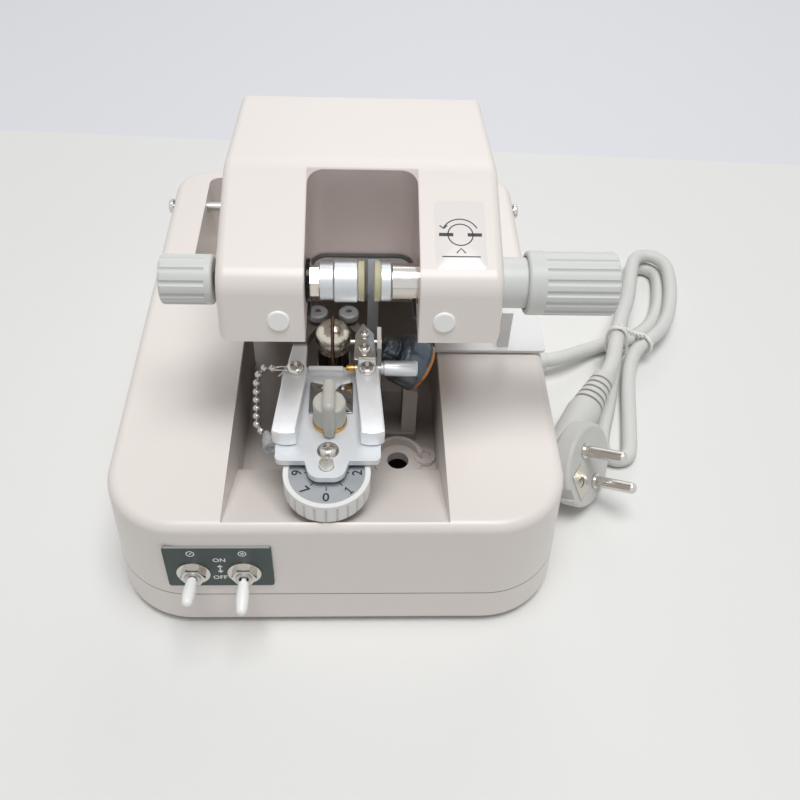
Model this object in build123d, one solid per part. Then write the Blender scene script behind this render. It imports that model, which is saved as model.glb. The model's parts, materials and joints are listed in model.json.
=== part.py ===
from build123d import *
from math import cos, pi, radians, sin, tan
import os

# Tabletop lens groover: a tilting head clamps and turns a lens above a grooving wheel.
# Millimetres. X runs right, Y runs back, Z runs up.
# The origin is on the table, under the middle of the base.

# Base casing
base_width = 168.0
base_depth = 222.0
base_height = 60.0
parting_height = 20.0
pan_underside = 2.0
draft_angle = 3.0
front_corner = 28.0
rear_corner = 16.0
rim_round = 4.0
wall = 3.0

# Front channel, ledge and well
channel_left = -40.5
channel_right = 40.0
ledge_start = 2.5
ledge_start_height = 58.4
ledge_end = 45.0
ledge_end_height = 36.0
well_floor = 24.0
cavity_start = 118.0
cavity_side_wall = 16.0
cavity_half_width = base_width / 2 - cavity_side_wall
cavity_rear_gap = 8.0
pocket_corner = 5.0

# Drain
drain_x = 24.0
drain_setback = 58.4
drain_bore = 9.0
drain_tube_wall = 2.0
drain_boss = 20.0
side_boss_offset = 11.4

# Hinge
hinge_from_rear = 26.0
hinge_height = 55.0
hinge_shaft_diameter = 5.0
hinge_end_inset = 3.5
shaft_clearance = 0.05

# Head
head_centre = 8.0
head_width = 95.0
head_wall = 2.5
nose_setback = 41.0
nose_bottom = 110.0
nose_top = 132.5
crease_setback = 90.0
crease_height = 148.0
back_top_from_hinge = 44.0
back_top_height = 139.5
slot_centre = 8.5
slot_width = 38.0
slot_setback = 88.0

# Lens clamp
clamp_setback = 58.0
clamp_height = 122.6
clamp_shaft = 6.0
pad_thickness = 2.0
pad_gap = 3.3
left_pad_face = 9.3
chuck_diameter = 14.4
right_chuck_diameter = 13.4
chuck_length = 8.6
left_knob_diameter = 17.0
left_knob_length = 17.8
collar_diameter = 17.4
collar_length = 14.0
clamp_knob_diameter = 22.0
clamp_knob_length = 31.0
knob_mouth_reach = 8.8
knob_overlap = 12.0
clamp_travel = 8.0

polished_shaft = 12.4
spindle_bush = 9.2
carriage_bush_wall = 1.6
carriage_bush = polished_shaft + 2 * carriage_bush_wall
gear_diameter = 19.0
pinion_diameter = 8.0

# Guide carriage
plate_height = 70.5
plate_thickness = 2.4
plate_centre = -3.25
plate_half_width = 18.75
plate_front = 19.5
plate_rear = 66.0
tongue_front = 11.9
tongue_half_width = 5.7
plate_screw_setback = 23.9
carriage_pin = 4.0
carriage_pin_spread = 11.0
carriage_pin_setback = 62.0
bar_setback = 63.2
arm_thickness = 6.8
arm_width = 8.6
arm_gap = 0.3
arm_front = 26.2
pivot_shank = 3.3
pivot_setback = 57.8
left_pivot_x = -16.1
right_pivot_x = 10.6
disc_setback = 85.5
left_disc_x = -8.6
right_disc_x = 3.4
disc_diameter = 7.8
disc_stem = 1.9
finger_setback = 76.0
left_finger_x = -14.8
right_finger_x = 10.4
web_centre = -2.75
web_half_width = 7.45
web_front = 41.5
web_rear = 60.6
web_arch_diameter = 11.0
web_stem = 2.2
thumb_setback = 61.2
thumb_height = 77.4
thumb_grip = 6.0
thumb_shank = 2.4
cam_x = -3.0
cam_setback = 38.0
cam_diameter = 12.0
cam_height = 9.6
blade_height = 15.6
blade_front = 8.6
blade_back = 6.6
blade_thickness = 4.6

# Depth dial
dial_setback = 17.2
dial_x = -3.6
dial_radius = 15.5
dial_bottom = 60.4
dial_thickness = 9.0
dial_stem = 5.0
dial_ribs = 24
dial_groove = 1.4

# Wheel and motor
wheel_x = -2.6
wheel_setback = 76.0
wheel_height = 77.0
wheel_diameter = 20.4
wheel_thickness = 0.6
guard_height = 79.8
guard_radius = 7.1
spindle_diameter = 2.4
bracket_top = 66.0
spindle_end = 16.4
bearing_plate_x = 14.6
bearing_plate_thickness = 1.6
motor_x = 16.6
motor_diameter = 21.0
motor_length = 11.5
neck_diameter = 9.4
neck_length = 4.6
neck_collar = 11.6
stop_foot_height = 54.0
stop_top = 106.0

# Switch panel
panel_centre = -42.6
panel_width = 38.6
panel_height = 23.0
panel_mid_height = 38.4
toggle_spacing = 18.4
toggle_height = 35.2
toggle_centre = -42.9
bushing_diameter = 6.0
bushing_proud = 4.2
lever_bore = 3.6
lever_pivot_proud = 2.0
lever_pin = 1.0
lever_reach = 13.4
toggle_lean = 12.0

# Mains lead
cord_diameter = 7.2
gland_reach = 7.0
cord_exit_height = 11.0
cord_exit_y = 22.5
relief_length = 24.0

# Plug
plug_radius = 18.4
plug_depth = 9.0
neck_depth = 17.0
pin_spacing = 19.0
pin_diameter = 4.8
pin_length = 19.0

# Bead chain: places as x, distance back from the front edge, z
bead_diameter = 2.5
bead_pitch = 3.15
chain_route = [
    (-24.1, 60.5, 74.5),
    (-28.6, 58.0, 70.0),
    (-30.4, 49.5, 65.4),
    (-29.4, 42.5, 64.3),
    (-27.2, 38.5, 66.2),
]

front = -base_depth / 2
rear = base_depth / 2
hinge_y = rear - hinge_from_rear
draft = tan(radians(draft_angle))


def back(setback):
    # Y of a place measured back from the front edge of the rim
    return front + setback


def rod(diameter, start, end):
    # A round bar between two points
    axis = Vector(*end) - Vector(*start)
    return extrude(Plane(origin=start, z_dir=axis) * Circle(diameter / 2), axis.length)


def rod_x(diameter, x_from, x_to, y, z):
    return rod(diameter, (x_from, y, z), (x_to, y, z))


def rod_z(diameter, x, y, z_from, z_to):
    return rod(diameter, (x, y, z_from), (x, y, z_to))


def box(x_from, x_to, y_from, y_to, z_from, z_to):
    size = (x_to - x_from, y_to - y_from, z_to - z_from)
    middle = ((x_from + x_to) / 2, (y_from + y_to) / 2, (z_from + z_to) / 2)
    return Pos(*middle) * Box(*size)


def prism_x(points, x_from, x_to):
    # An outline of (y, z) points carried along X
    face = make_face(Polyline(*[(0, y, z) for y, z in points], close=True))
    return Pos(x_from, 0, 0) * extrude(face, x_to - x_from, dir=(1, 0, 0))


def plate_z(points, z_from, z_to, corner=0.0):
    # An outline of (x, y) points carried up Z, with its upright edges rounded
    face = make_face(Polyline(*points, close=True))
    solid = Pos(0, 0, z_from) * extrude(face, z_to - z_from, dir=(0, 0, 1))
    if corner:
        solid = fillet(solid.edges().filter_by(Axis.Z), corner)
    return solid


# Base casing

def base_outline(height, inset=0.0):
    # The casing is widest at the bottom: its walls lean in by the draft angle
    grow = (base_height - height) * draft - inset
    width = base_width + 2 * grow
    depth = base_depth + 2 * grow
    sketch = Rectangle(width, depth)
    front_vertices = sketch.vertices().sort_by(Axis.Y)[:2]
    sketch = fillet(front_vertices, front_corner + grow)
    rear_vertices = [v for v in sketch.vertices() if v.Y > depth / 2 - 0.01]
    sketch = fillet(rear_vertices, rear_corner + grow)
    return Pos(0, 0, height) * sketch


def casing(z_from, z_to, inset=0.0):
    return loft([base_outline(z_from, inset), base_outline(z_to, inset)])


def pocket(grow=0.0):
    # The open space of the casing: front channel over the ledge, the well, the rear cavity
    top = base_height + 10
    floor = well_floor - grow
    channel = prism_x(
        [
            (back(ledge_start) - grow, top),
            (back(ledge_start) - grow, ledge_start_height - grow),
            (back(ledge_end) - grow, ledge_end_height - grow),
            (back(ledge_end) - grow, floor),
            (back(cavity_start) + 1, floor),
            (back(cavity_start) + 1, top),
        ],
        channel_left - grow,
        channel_right + grow,
    )
    half = cavity_half_width + grow
    cavity = box(-half, half, back(cavity_start) - grow, rear - cavity_rear_gap + grow, floor, top)
    if grow == 0:
        rear_edges = cavity.edges().filter_by(Axis.Z).group_by(Axis.Y)[-1]
        cavity = fillet(rear_edges, pocket_corner)
    return channel + cavity


def hinge_blocks():
    blocks = []
    for side in (-1, 1):
        inner = cavity_half_width + 0.5
        outer = base_width / 2 - 1.5
        x_from, x_to = sorted((side * inner, side * outer))
        blocks.append(box(x_from, x_to, hinge_y - 9, hinge_y + 9, hinge_height - 12, base_height - 2))
    return blocks


def base_shell():
    outer = casing(parting_height, base_height)
    rim_edges = outer.edges().group_by(Axis.Z)[-1]
    outer = fillet(rim_edges, rim_round)
    hollow = casing(parting_height - 1, base_height - wall, wall) - pocket(wall)
    shell = outer - hollow - pocket()
    for block in hinge_blocks():
        shell += block
    y = back(drain_setback)
    shell += rod_z(drain_boss, drain_x, y, well_floor - wall, well_floor + 1.4)
    collar = rod_z(drain_boss, drain_x, y, well_floor, well_floor + 5.5)
    collar -= rod_z(drain_boss - 3, drain_x, y, well_floor, well_floor + 6)
    collar -= box(drain_x - 15, drain_x + 15, y - 15, y + 1, well_floor - 1, well_floor + 7)
    shell += collar
    boss_x = drain_x + side_boss_offset
    small_boss = rod_z(9, boss_x, y + 2, well_floor - 1, well_floor + 2.4)
    small_boss -= rod_z(5, boss_x, y + 2, well_floor + 1.2, well_floor + 3)
    shell += small_boss
    shell -= rod_z(drain_bore, drain_x, y, well_floor - wall - 1, well_floor + 3)
    reach = base_width / 2
    hole = hinge_shaft_diameter + 2 * shaft_clearance
    shell -= rod_x(hole, -reach + hinge_end_inset, reach - hinge_end_inset, hinge_y, hinge_height)
    shell -= rod_x(3.2, -reach - 5, reach + 5, hinge_y, hinge_height)
    for x in toggle_places():
        shell -= panel_rod(bushing_diameter + 0.4, x, -8, 4)
    shell -= rod_x(gland_bore(), reach - 8, reach + 8, cord_exit_y, cord_exit_height)
    return shell


def base_pan():
    outer = casing(pan_underside, parting_height - 0.02)
    bottom_edges = outer.edges().group_by(Axis.Z)[0]
    outer = fillet(bottom_edges, 3.0)
    pan = outer - casing(pan_underside + wall, parting_height + 1, wall)
    pan -= rod_x(gland_bore(), base_width / 2 - 8, base_width / 2 + 8, cord_exit_y, cord_exit_height)
    for x, y in foot_places():
        pan += rod_z(9, x, y, pan_underside + 0.5, parting_height - 4)
        pan -= rod_z(3.4, x, y, pan_underside - 1, parting_height)
        pan -= rod_z(7, x, y, pan_underside - 1, pan_underside + 2.6)
    pan -= rod_z(drain_bore + 2 * drain_tube_wall + 0.2, drain_x, back(drain_setback), 0, 8)
    return pan


def foot_places():
    x = base_width / 2 - 22
    return [(sx * x, sy * (base_depth / 2 - 26)) for sx in (-1, 1) for sy in (-1, 1)]


def rubber_feet():
    feet = []
    for x, y in foot_places():
        foot = rod_z(14, x, y, 0, pan_underside)
        foot = fillet(foot.edges().group_by(Axis.Z)[0], 0.8)
        foot -= rod_z(7.4, x, y, 0.8, pan_underside + 1)
        feet.append(foot)
    return Compound(feet)


def pan_screws():
    screws = []
    for x, y in foot_places():
        head = rod_z(6.4, x, y, pan_underside + 0.2, pan_underside + 2.6)
        head -= box(x - 2, x + 2, y - 0.4, y + 0.4, pan_underside, pan_underside + 1.2)
        screws.append(head + rod_z(3.0, x, y, pan_underside + 2.5, parting_height - 2))
    return Compound(screws)


def drain_tube():
    y = back(drain_setback)
    outer = drain_bore + 2 * drain_tube_wall
    tube = rod_z(outer, drain_x, y, pan_underside + 0.2, well_floor - wall)
    return tube - rod_z(drain_bore, drain_x, y, 0, well_floor)


# Head hinge

def hinge_shaft():
    reach = base_width / 2 - hinge_end_inset - 0.2
    shaft = rod_x(hinge_shaft_diameter, -reach, reach, hinge_y, hinge_height)
    for side in (-1, 1):
        shaft -= rod_x(2.6, side * reach, side * (reach - 9), hinge_y, hinge_height)
    return shaft


def hinge_screws():
    screws = []
    seat = base_width / 2 + (base_height - hinge_height) * draft
    for side in (-1, 1):
        head = rod_x(7.2, side * (seat + 0.25), side * (seat + 2.4), hinge_y, hinge_height)
        head = fillet(head.edges().filter_by(GeomType.CIRCLE).sort_by(Axis.X)[0 if side < 0 else -1], 1.2)
        mark = side * (seat + 2.0)
        for slit_y, slit_z in ((4.4, 0.8), (0.8, 4.4)):
            head -= Pos(mark, hinge_y, hinge_height) * Box(1.6, slit_y, slit_z)
        shank = rod_x(2.6, side * (seat + 0.3), side * (seat - 9), hinge_y, hinge_height)
        screws.append(head + shank)
    return Compound(screws)


# Head

def head_outline(inset=0.0):
    # Side view of the head: nose, crease, sloping top, rounded hinge end, raised front underside
    round_radius = 14.0 - inset
    nose = back(nose_setback) + inset
    crease = back(crease_setback)
    tail = hinge_y - back_top_from_hinge
    low_front = back(cavity_start) + 17
    return [
        (nose, nose_bottom + inset),
        (nose + 4.5, nose_top - inset * 0.6),
        (crease, crease_height - inset),
        (tail - inset * 0.6, back_top_height - inset),
        (hinge_y + round_radius * 0.72, hinge_height + round_radius * 0.9),
        (hinge_y + round_radius, hinge_height),
        (hinge_y + round_radius * 0.6, hinge_height - round_radius * 0.85),
        (hinge_y - round_radius * 0.5, hinge_height - round_radius * 0.9),
        (low_front + inset, hinge_height - 8 + inset),
        (back(cavity_start) + 1 + inset, base_height + 5 + inset),
        (back(slot_setback) + 9 + inset, nose_bottom + inset),
    ]


def slot(grow=0.0):
    x_from = slot_centre - slot_width / 2 - grow
    x_to = slot_centre + slot_width / 2 + grow
    y_from = back(nose_setback) - 10
    y_to = back(slot_setback) + grow
    cut = box(x_from, x_to, y_from, y_to, nose_bottom - 5, crease_height + 5)
    rear_edges = cut.edges().filter_by(Axis.Z).group_by(Axis.Y)[-1]
    return fillet(rear_edges, 6.0 + grow)


def head_body():
    x_from = head_centre - head_width / 2
    x_to = head_centre + head_width / 2
    body = prism_x(head_outline(), x_from, x_to)
    crease = body.edges().filter_by(Axis.X).sort_by(Axis.Z)[-1]
    body = fillet(crease, 22)
    across = [(e, e.center()) for e in body.edges().filter_by(Axis.X)]
    nose = [e for e, place in across if abs(place.Z - nose_top) < 1 and place.Y < back(crease_setback)]
    body = fillet(nose, 9)
    tail_y = hinge_y - back_top_from_hinge
    across = [(e, e.center()) for e in body.edges().filter_by(Axis.X)]
    tail = [e for e, place in across if abs(place.Y - tail_y) < 1 and place.Z > hinge_height]
    return fillet(tail, 5)


def cover_bay(grow=0.0):
    # The opening under the nose that the lower cover closes
    x_from = head_centre - head_width / 2 + head_wall - grow
    x_to = head_centre + head_width / 2 - head_wall + grow
    y_from = back(nose_setback) + head_wall + 1.5 - grow
    y_to = back(slot_setback) + 4 + grow
    bay = box(x_from, x_to, y_from, y_to, nose_bottom - 1, nose_bottom + head_wall + 0.1)
    return bay - slot(head_wall - grow)


def head_shell():
    body = head_body()
    sides = body.faces().filter_by(Axis.X)
    body = fillet([e for f in sides for e in f.edges()], 3.0)
    inner = prism_x(
        head_outline(head_wall),
        head_centre - head_width / 2 + head_wall,
        head_centre + head_width / 2 - head_wall,
    )
    inner -= slot(head_wall)
    hub = rod_x(
        hinge_shaft_diameter + 6,
        head_centre - head_width / 2 + 1,
        head_centre + head_width / 2 - 1,
        hinge_y,
        hinge_height,
    )
    shell = body - slot() - inner - cover_bay()
    for x_from, x_to in hub_spans():
        shell += hub & box(x_from, x_to, hinge_y - 20, hinge_y + 20, 0, base_height + 40)
    shell -= rod_x(bush_outer(), head_centre - 60, head_centre + 60, hinge_y, hinge_height)
    y = back(clamp_setback)
    shell -= rod_x(spindle_bush, head_centre - 60, slot_centre, y, clamp_height)
    shell -= rod_x(carriage_bush, slot_centre, head_centre + 30, y, clamp_height)
    shell -= rod_x(spindle_bush, head_centre + 30, head_centre + 60, y, clamp_height)
    for plane in cap_planes():
        shell -= extrude(plane.offset(-0.8) * Circle(3.82), 4)
    return shell + motor_shelf()


def hub_spans():
    left = head_centre - head_width / 2
    right = head_centre + head_width / 2
    return [(left + 1, left + 10), (right - 10, right - 1)]


def bush_outer():
    return hinge_shaft_diameter + 3


def head_bushes():
    # Plain bushes: two on the hinge shaft, three for the clamp's shafts
    bushes = []
    for x_from, x_to in hub_spans():
        bush = rod_x(bush_outer(), x_from - 1, x_to + 1, hinge_y, hinge_height)
        bore = hinge_shaft_diameter + 2 * shaft_clearance
        bushes.append(bush - rod_x(bore, x_from - 3, x_to + 3, hinge_y, hinge_height))
    left = head_centre - head_width / 2
    slot_left = slot_centre - slot_width / 2
    slot_right = slot_centre + slot_width / 2
    bushes.append(bearing(left - 0.6, left + head_wall + 1, spindle_bush, clamp_shaft))
    bushes.append(bearing(slot_left - head_wall - 1, slot_left, spindle_bush, clamp_shaft))
    bushes.append(bearing(slot_right, slot_right + head_wall + 1, carriage_bush, polished_shaft))
    return Compound(bushes)


def head_lower_cover():
    # Plate under the nose, with a steel lip along the slot's rear wall
    cover = cover_bay(-0.12) - box(-200, 200, -200, 200, nose_bottom - 5, nose_bottom)
    x_from = slot_centre - slot_width / 2 + 6.5
    x_to = slot_centre + slot_width / 2 - 6.5
    y = back(slot_setback) + head_wall
    return cover + box(x_from, x_to, y, y + 1.5, nose_bottom + 1, nose_bottom + 6)


def cap_planes():
    # Places of the two caps on the nose, facing out
    outward = Vector(0, -(nose_top - nose_bottom), 4.5).normalized()
    planes = []
    for x in (head_centre - 27.2, head_centre + 28.0):
        seat = (x, back(nose_setback) + 1.6, nose_bottom + 8)
        planes.append(Plane(origin=seat, z_dir=outward))
    return planes


def head_caps():
    # Two push-in caps that close screw holes in the nose
    caps = []
    for plane in cap_planes():
        cap = extrude(plane.offset(-0.78) * Circle(3.8), 1.6)
        front_face = cap.faces().sort_by(Axis.Y)[0]
        caps.append(fillet(front_face.edges(), 0.7))
    return Compound(caps)


# Lens clamp and drive

def bearing(x_from, x_to, outer, shaft):
    y = back(clamp_setback)
    ring = rod_x(outer, x_from, x_to, y, clamp_height)
    return ring - rod_x(shaft + 2 * shaft_clearance, x_from - 1, x_to + 1, y, clamp_height)


def left_spindle():
    y = back(clamp_setback)
    end = left_pad_face - pad_thickness
    slot_left = slot_centre - slot_width / 2
    shaft = rod_x(clamp_shaft, head_centre - head_width / 2 - 12, end - 8, y, clamp_height)
    shaft += rod_x(15.2, slot_left + 0.3, slot_left + 1.6, y, clamp_height)
    nut = Pos(slot_left + 1.6, y, clamp_height) * Rot(0, 90, 0) * extrude(RegularPolygon(5.6, 6), 2.8)
    return shaft + nut


def left_chuck():
    y = back(clamp_setback)
    end = left_pad_face - pad_thickness
    cup = rod_x(chuck_diameter, end - chuck_length, end, y, clamp_height)
    neck = rod_x(chuck_diameter - 1.6, end - 13, end - chuck_length, y, clamp_height)
    body = chamfer(cup.edges().filter_by(GeomType.CIRCLE), 0.6) + neck
    return body - rod_x(clamp_shaft, end - 14, end - 8, y, clamp_height)


def lens_pad(x_face, outward):
    # A soft disc with a hollowed face
    y = back(clamp_setback)
    pad = rod_x(12.6, x_face, x_face + outward * pad_thickness, y, clamp_height)
    return pad - rod_x(8.0, x_face - outward, x_face + outward * 0.8, y, clamp_height)


def fluted_knob(diameter, x_from, x_to, ribs, groove, plain):
    # A round grip with lengthwise grooves that stop short of a plain band
    y = back(clamp_setback)
    knob = rod_x(diameter, x_from, x_to, y, clamp_height)
    rims = knob.edges().filter_by(GeomType.CIRCLE)
    knob = fillet(rims, 1.2)
    cut_from, cut_to = plain
    cutters = []
    for i in range(ribs):
        angle = 2 * pi * i / ribs
        cy = y + (diameter / 2 + groove * 0.28) * cos(angle)
        cz = clamp_height + (diameter / 2 + groove * 0.28) * sin(angle)
        cutters.append(rod(groove, (cut_from, cy, cz), (cut_to, cy, cz)))
    return knob - cutters


def left_knob():
    x_to = head_centre - head_width / 2 - 1.8
    x_from = x_to - left_knob_length
    knob = fluted_knob(left_knob_diameter, x_from, x_to, 12, 2.6, (x_from - 1, x_to - 2.5))
    return knob - rod_x(clamp_shaft, x_to - 10.2, x_to + 1, back(clamp_setback), clamp_height)


def spindle_gear():
    y = back(clamp_setback)
    x = head_centre - head_width / 2 + 8
    gear = rod_x(gear_diameter, x, x + 4, y, clamp_height)
    teeth = []
    for i in range(24):
        angle = 2 * pi * i / 24
        cy = y + 9.7 * cos(angle)
        cz = clamp_height + 9.7 * sin(angle)
        teeth.append(rod(1.5, (x - 1, cy, cz), (x + 5, cy, cz)))
    return gear - teeth - rod_x(clamp_shaft, x - 1, x + 5, y, clamp_height)


def motor_place():
    # Beside the spindle gear, one gear radius and one pinion radius away
    return back(clamp_setback) + gear_diameter / 2 + pinion_diameter / 2 + 0.1, clamp_height


def lens_motor():
    y, z = motor_place()
    x = head_centre - head_width / 2 + 12.6
    return rod_x(15, x + 1, x + 12.4, y, z)


def motor_pinion():
    y, z = motor_place()
    x = head_centre - head_width / 2 + 8.2
    return rod_x(pinion_diameter, x, x + 3.6, y, z) + rod_x(2, x - 2, x + 5.2, y, z)


def motor_shelf():
    # Web inside the head that holds the lens motor
    y, z = motor_place()
    x = head_centre - head_width / 2
    slot_left = slot_centre - slot_width / 2
    return box(x + 13.4, slot_left - head_wall + 0.5, y - 9, y + 9, z - 9.4, z - 7.6)


def right_collar():
    x = head_centre + head_width / 2
    y = back(clamp_setback)
    collar = rod_x(collar_diameter, x, x + collar_length, y, clamp_height)
    collar += rod_x(spindle_bush, x - head_wall - 1, x, y, clamp_height)
    bore = clamp_shaft + 2 * shaft_clearance
    return collar - rod_x(bore, x - 5, x + collar_length + 1, y, clamp_height)


def right_pad_face():
    return left_pad_face + pad_gap


def clamp_carriage():
    # Sliding shaft of the right side: its polished length runs in the slot's right wall
    y = back(clamp_setback)
    x_from = right_pad_face() + pad_thickness + 4
    shaft = rod_x(clamp_shaft, x_from - 2, knob_mouth() + 20, y, clamp_height)
    return shaft + rod_x(polished_shaft, x_from + 0.2, x_from + 18, y, clamp_height)


def right_chuck():
    x = right_pad_face() + pad_thickness
    y = back(clamp_setback)
    cup = rod_x(right_chuck_diameter, x, x + 4, y, clamp_height)
    cup = chamfer(cup.edges().filter_by(GeomType.CIRCLE), 0.5)
    return cup - rod_x(clamp_shaft + 2 * shaft_clearance, x + 1.8, x + 5, y, clamp_height)


def knob_mouth():
    return head_centre + head_width / 2 + knob_mouth_reach


def clamp_knob():
    x_from = knob_mouth()
    x_to = x_from + clamp_knob_length
    knob = fluted_knob(clamp_knob_diameter, x_from, x_to, 18, 2.8, (x_from + 6, x_to + 1))
    y = back(clamp_setback)
    knob -= rod_x(collar_diameter + 1.2, x_from - 1, x_from + knob_overlap, y, clamp_height)
    return knob - rod_x(clamp_shaft + 2 * shaft_clearance, x_from, x_from + 20.2, y, clamp_height)


# Guide carriage

def carriage_holes():
    return [(plate_centre + side * carriage_pin_spread, carriage_pin_setback) for side in (-1, 1)]


def plate_top():
    return plate_height + plate_thickness


def guide_plate():
    # Flat plate whose rounded front tongue carries the dial's stem
    half = plate_half_width
    plate = plate_z(
        [
            (plate_centre - half, back(plate_front)),
            (plate_centre + half, back(plate_front)),
            (plate_centre + half, back(plate_rear)),
            (plate_centre - half, back(plate_rear)),
        ],
        plate_height,
        plate_top(),
        2.4,
    )
    root = back(plate_front) + 1.5
    tongue = plate_z(
        [
            (dial_x - tongue_half_width - 2.6, root),
            (dial_x - tongue_half_width, back(tongue_front)),
            (dial_x + tongue_half_width, back(tongue_front)),
            (dial_x + tongue_half_width + 2.6, root),
        ],
        plate_height,
        plate_top(),
    )
    tip_edges = tongue.edges().filter_by(Axis.Z).group_by(Axis.Y)[0]
    plate += fillet(tip_edges, 4.6)
    reach = plate_height - 1, plate_height + 5
    plate -= rod_z(dial_stem + 0.2, dial_x, back(dial_setback), *reach)
    plate -= rod_z(3.0, plate_centre, back(plate_screw_setback), *reach)
    for x, setback in carriage_holes():
        plate -= rod_z(carriage_pin + 2 * shaft_clearance, x, back(setback), *reach)
    return plate


def cross_head(x, y, z, diameter, height):
    # Low domed screw head with a crossed recess, on a seat at height z
    head = rod_z(diameter, x, y, z, z + height)
    head = fillet(head.edges().filter_by(GeomType.CIRCLE).sort_by(Axis.Z)[-1], height * 0.7)
    slit = diameter * 0.09
    arm = diameter * 0.3
    deep = z + height * 0.45
    head -= box(x - arm, x + arm, y - slit, y + slit, deep, z + height + 1)
    return head - box(x - slit, x + slit, y - arm, y + arm, deep, z + height + 1)


def carriage_screws():
    # The plate's own screw on its washer, and the two pivots with the plain shanks that the arms turn on
    y = back(plate_screw_setback)
    seat = plate_top() + 0.02
    washer = rod_z(7.8, plate_centre, y, seat, seat + 0.5)
    head = cross_head(plate_centre, y, seat + 0.5, 6.0, 1.9)
    screws = [washer + head + rod_z(2.9, plate_centre, y, plate_height, plate_top() + 0.5)]
    for x in (left_pivot_x, right_pivot_x):
        y = back(pivot_setback)
        head = cross_head(x, y, arm_top() + 0.15, 6.4, 2.0)
        shoulder = rod_z(pivot_shank, x, y, plate_top() + 0.02, arm_top() + 0.6)
        screws.append(head + shoulder)
    return Compound(screws)


def cross_bar():
    z = plate_top() + 0.02
    centre = plate_centre - 1.9
    bar = box(centre - 6.55, centre + 6.55, back(bar_setback), back(bar_setback) + 2.2, z, z + 1.6)
    return fillet(bar.edges().filter_by(Axis.X).group_by(Axis.Z)[-1], 0.5)


def web_spring():
    # Thin sheet between the arms: two arched openings leave a stem, whose front ends in two wings
    z = plate_top() + 0.02
    sheet = box(
        web_centre - web_half_width,
        web_centre + web_half_width,
        back(web_front),
        back(web_rear),
        z,
        z + 1.0,
    )
    arch_reach = (web_stem + web_arch_diameter) / 2
    for side in (-1, 1):
        sheet -= rod_z(web_arch_diameter, web_centre + side * arch_reach, back(web_front) + 10, z - 1, z + 2)
    return sheet - rod_z(cam_diameter + 1.8, cam_x, back(cam_setback), z - 1, z + 2)


def arm(pivot_x, finger_x, disc_x, splay, finger_depth):
    # Front bar, pivot eye and a slimmer rear finger that reaches round the wheel's guard
    z = plate_top() + arm_gap
    top = arm_top()
    pivot = Vector(pivot_x, back(pivot_setback), 0)
    tip = Vector(pivot_x + splay, back(arm_front), 0)
    along = (tip - pivot).normalized()
    side = Vector(-along.Y, along.X, 0) * (arm_width / 2)
    corners = [pivot + side, tip + side, tip - side, pivot - side]
    bar = plate_z([(c.X, c.Y) for c in corners], z, top)
    front_edges = bar.edges().filter_by(Axis.Z).sort_by(Axis.Y)[:2]
    bar = fillet(front_edges, 1.6)
    bar += rod_z(arm_width, pivot_x, back(pivot_setback), z, top)
    outward = 1 if finger_x > disc_x else -1
    finger = plate_z(
        [
            (pivot_x - 3.6, back(pivot_setback)),
            (pivot_x + 3.6, back(pivot_setback)),
            (finger_x + 2.5, back(finger_setback)),
            (disc_x + 2.6 + 0.6 * outward, back(disc_setback)),
            (disc_x - 2.6 + 0.6 * outward, back(disc_setback)),
            (finger_x - 2.5, back(finger_setback)),
        ],
        top - finger_depth,
        top,
    )
    body = bar + finger + rod_z(5.2, disc_x, back(disc_setback), top - finger_depth, top)
    bore = pivot_shank + 2 * shaft_clearance
    body -= rod_z(bore, pivot_x, back(pivot_setback), z - 1, top + 1)
    return body - rod_z(disc_stem + 0.1, disc_x, back(disc_setback), top - 1.0, top + 1)


def left_guide_arm():
    return arm(left_pivot_x, left_finger_x, left_disc_x, -2.9, 4.0)


def right_guide_arm():
    # This finger passes over the wheel's spindle, so it is thin
    body = arm(right_pivot_x, right_finger_x, right_disc_x, 2.1, 1.4)
    y = back(thumb_setback)
    bore = thumb_shank + 2 * shaft_clearance
    return body - rod_x(bore, right_pivot_x - arm_width, right_pivot_x + arm_width, y, thumb_height)


def arm_top():
    return plate_top() + arm_gap + arm_thickness


def guide_disc(x):
    # Smooth roller with a hexagon socket that steers the lens edge
    y = back(disc_setback)
    z = arm_top() + 0.02
    disc = rod_z(disc_diameter, x, y, z + 1.2, z + 4.6)
    disc = fillet(disc.edges().filter_by(GeomType.CIRCLE), 0.9)
    disc += rod_z(4.2, x, y, z, z + 1.3) + rod_z(disc_stem, x, y, z - 0.9, z + 0.5)
    return disc - Pos(x, y, z + 3.2) * extrude(RegularPolygon(1.3, 6), 3)


def arm_clip():
    # Folded cover on the rear of the right arm, fixed by two screws
    z = arm_top() + 0.02
    outline = [
        (right_pivot_x - 5.0, back(63.0)),
        (right_pivot_x + 3.0, back(63.0)),
        (right_pivot_x + 2.6, back(finger_setback)),
        (right_disc_x + 5.6, back(82.0)),
        (right_pivot_x - 4.4, back(finger_setback)),
    ]
    clip = plate_z(outline, z, z + 1.4)
    large = cross_head(right_pivot_x - 1.1, back(67.4), z + 1.4, 5.0, 1.8)
    small = cross_head(right_pivot_x - 1.0, back(75.6), z + 1.4, 3.4, 1.3)
    return clip + large + small


def cam_knob():
    # Quarter-turn knob: brass ring, round body and a tall grip blade that overhangs the front
    y = back(cam_setback)
    z = plate_top() + 1.4
    ring = rod_z(cam_diameter + 0.6, cam_x, y, plate_top() + 0.1, z)
    body = rod_z(cam_diameter, cam_x, y, z, z + cam_height)
    body = fillet(body.edges().filter_by(GeomType.CIRCLE).sort_by(Axis.Z)[-1], 0.8)
    half = blade_thickness / 2
    blade = box(cam_x - half, cam_x + half, y - blade_front, y + blade_back, z, z + blade_height)
    ends = blade.edges().filter_by(Axis.X).group_by(Axis.Z)[-1]
    blade = fillet(ends, 5.0)
    rims = blade.faces().filter_by(Axis.X).edges() - blade.faces().sort_by(Axis.Z)[0].edges()
    return ring + body + fillet(rims, 0.9)


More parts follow.
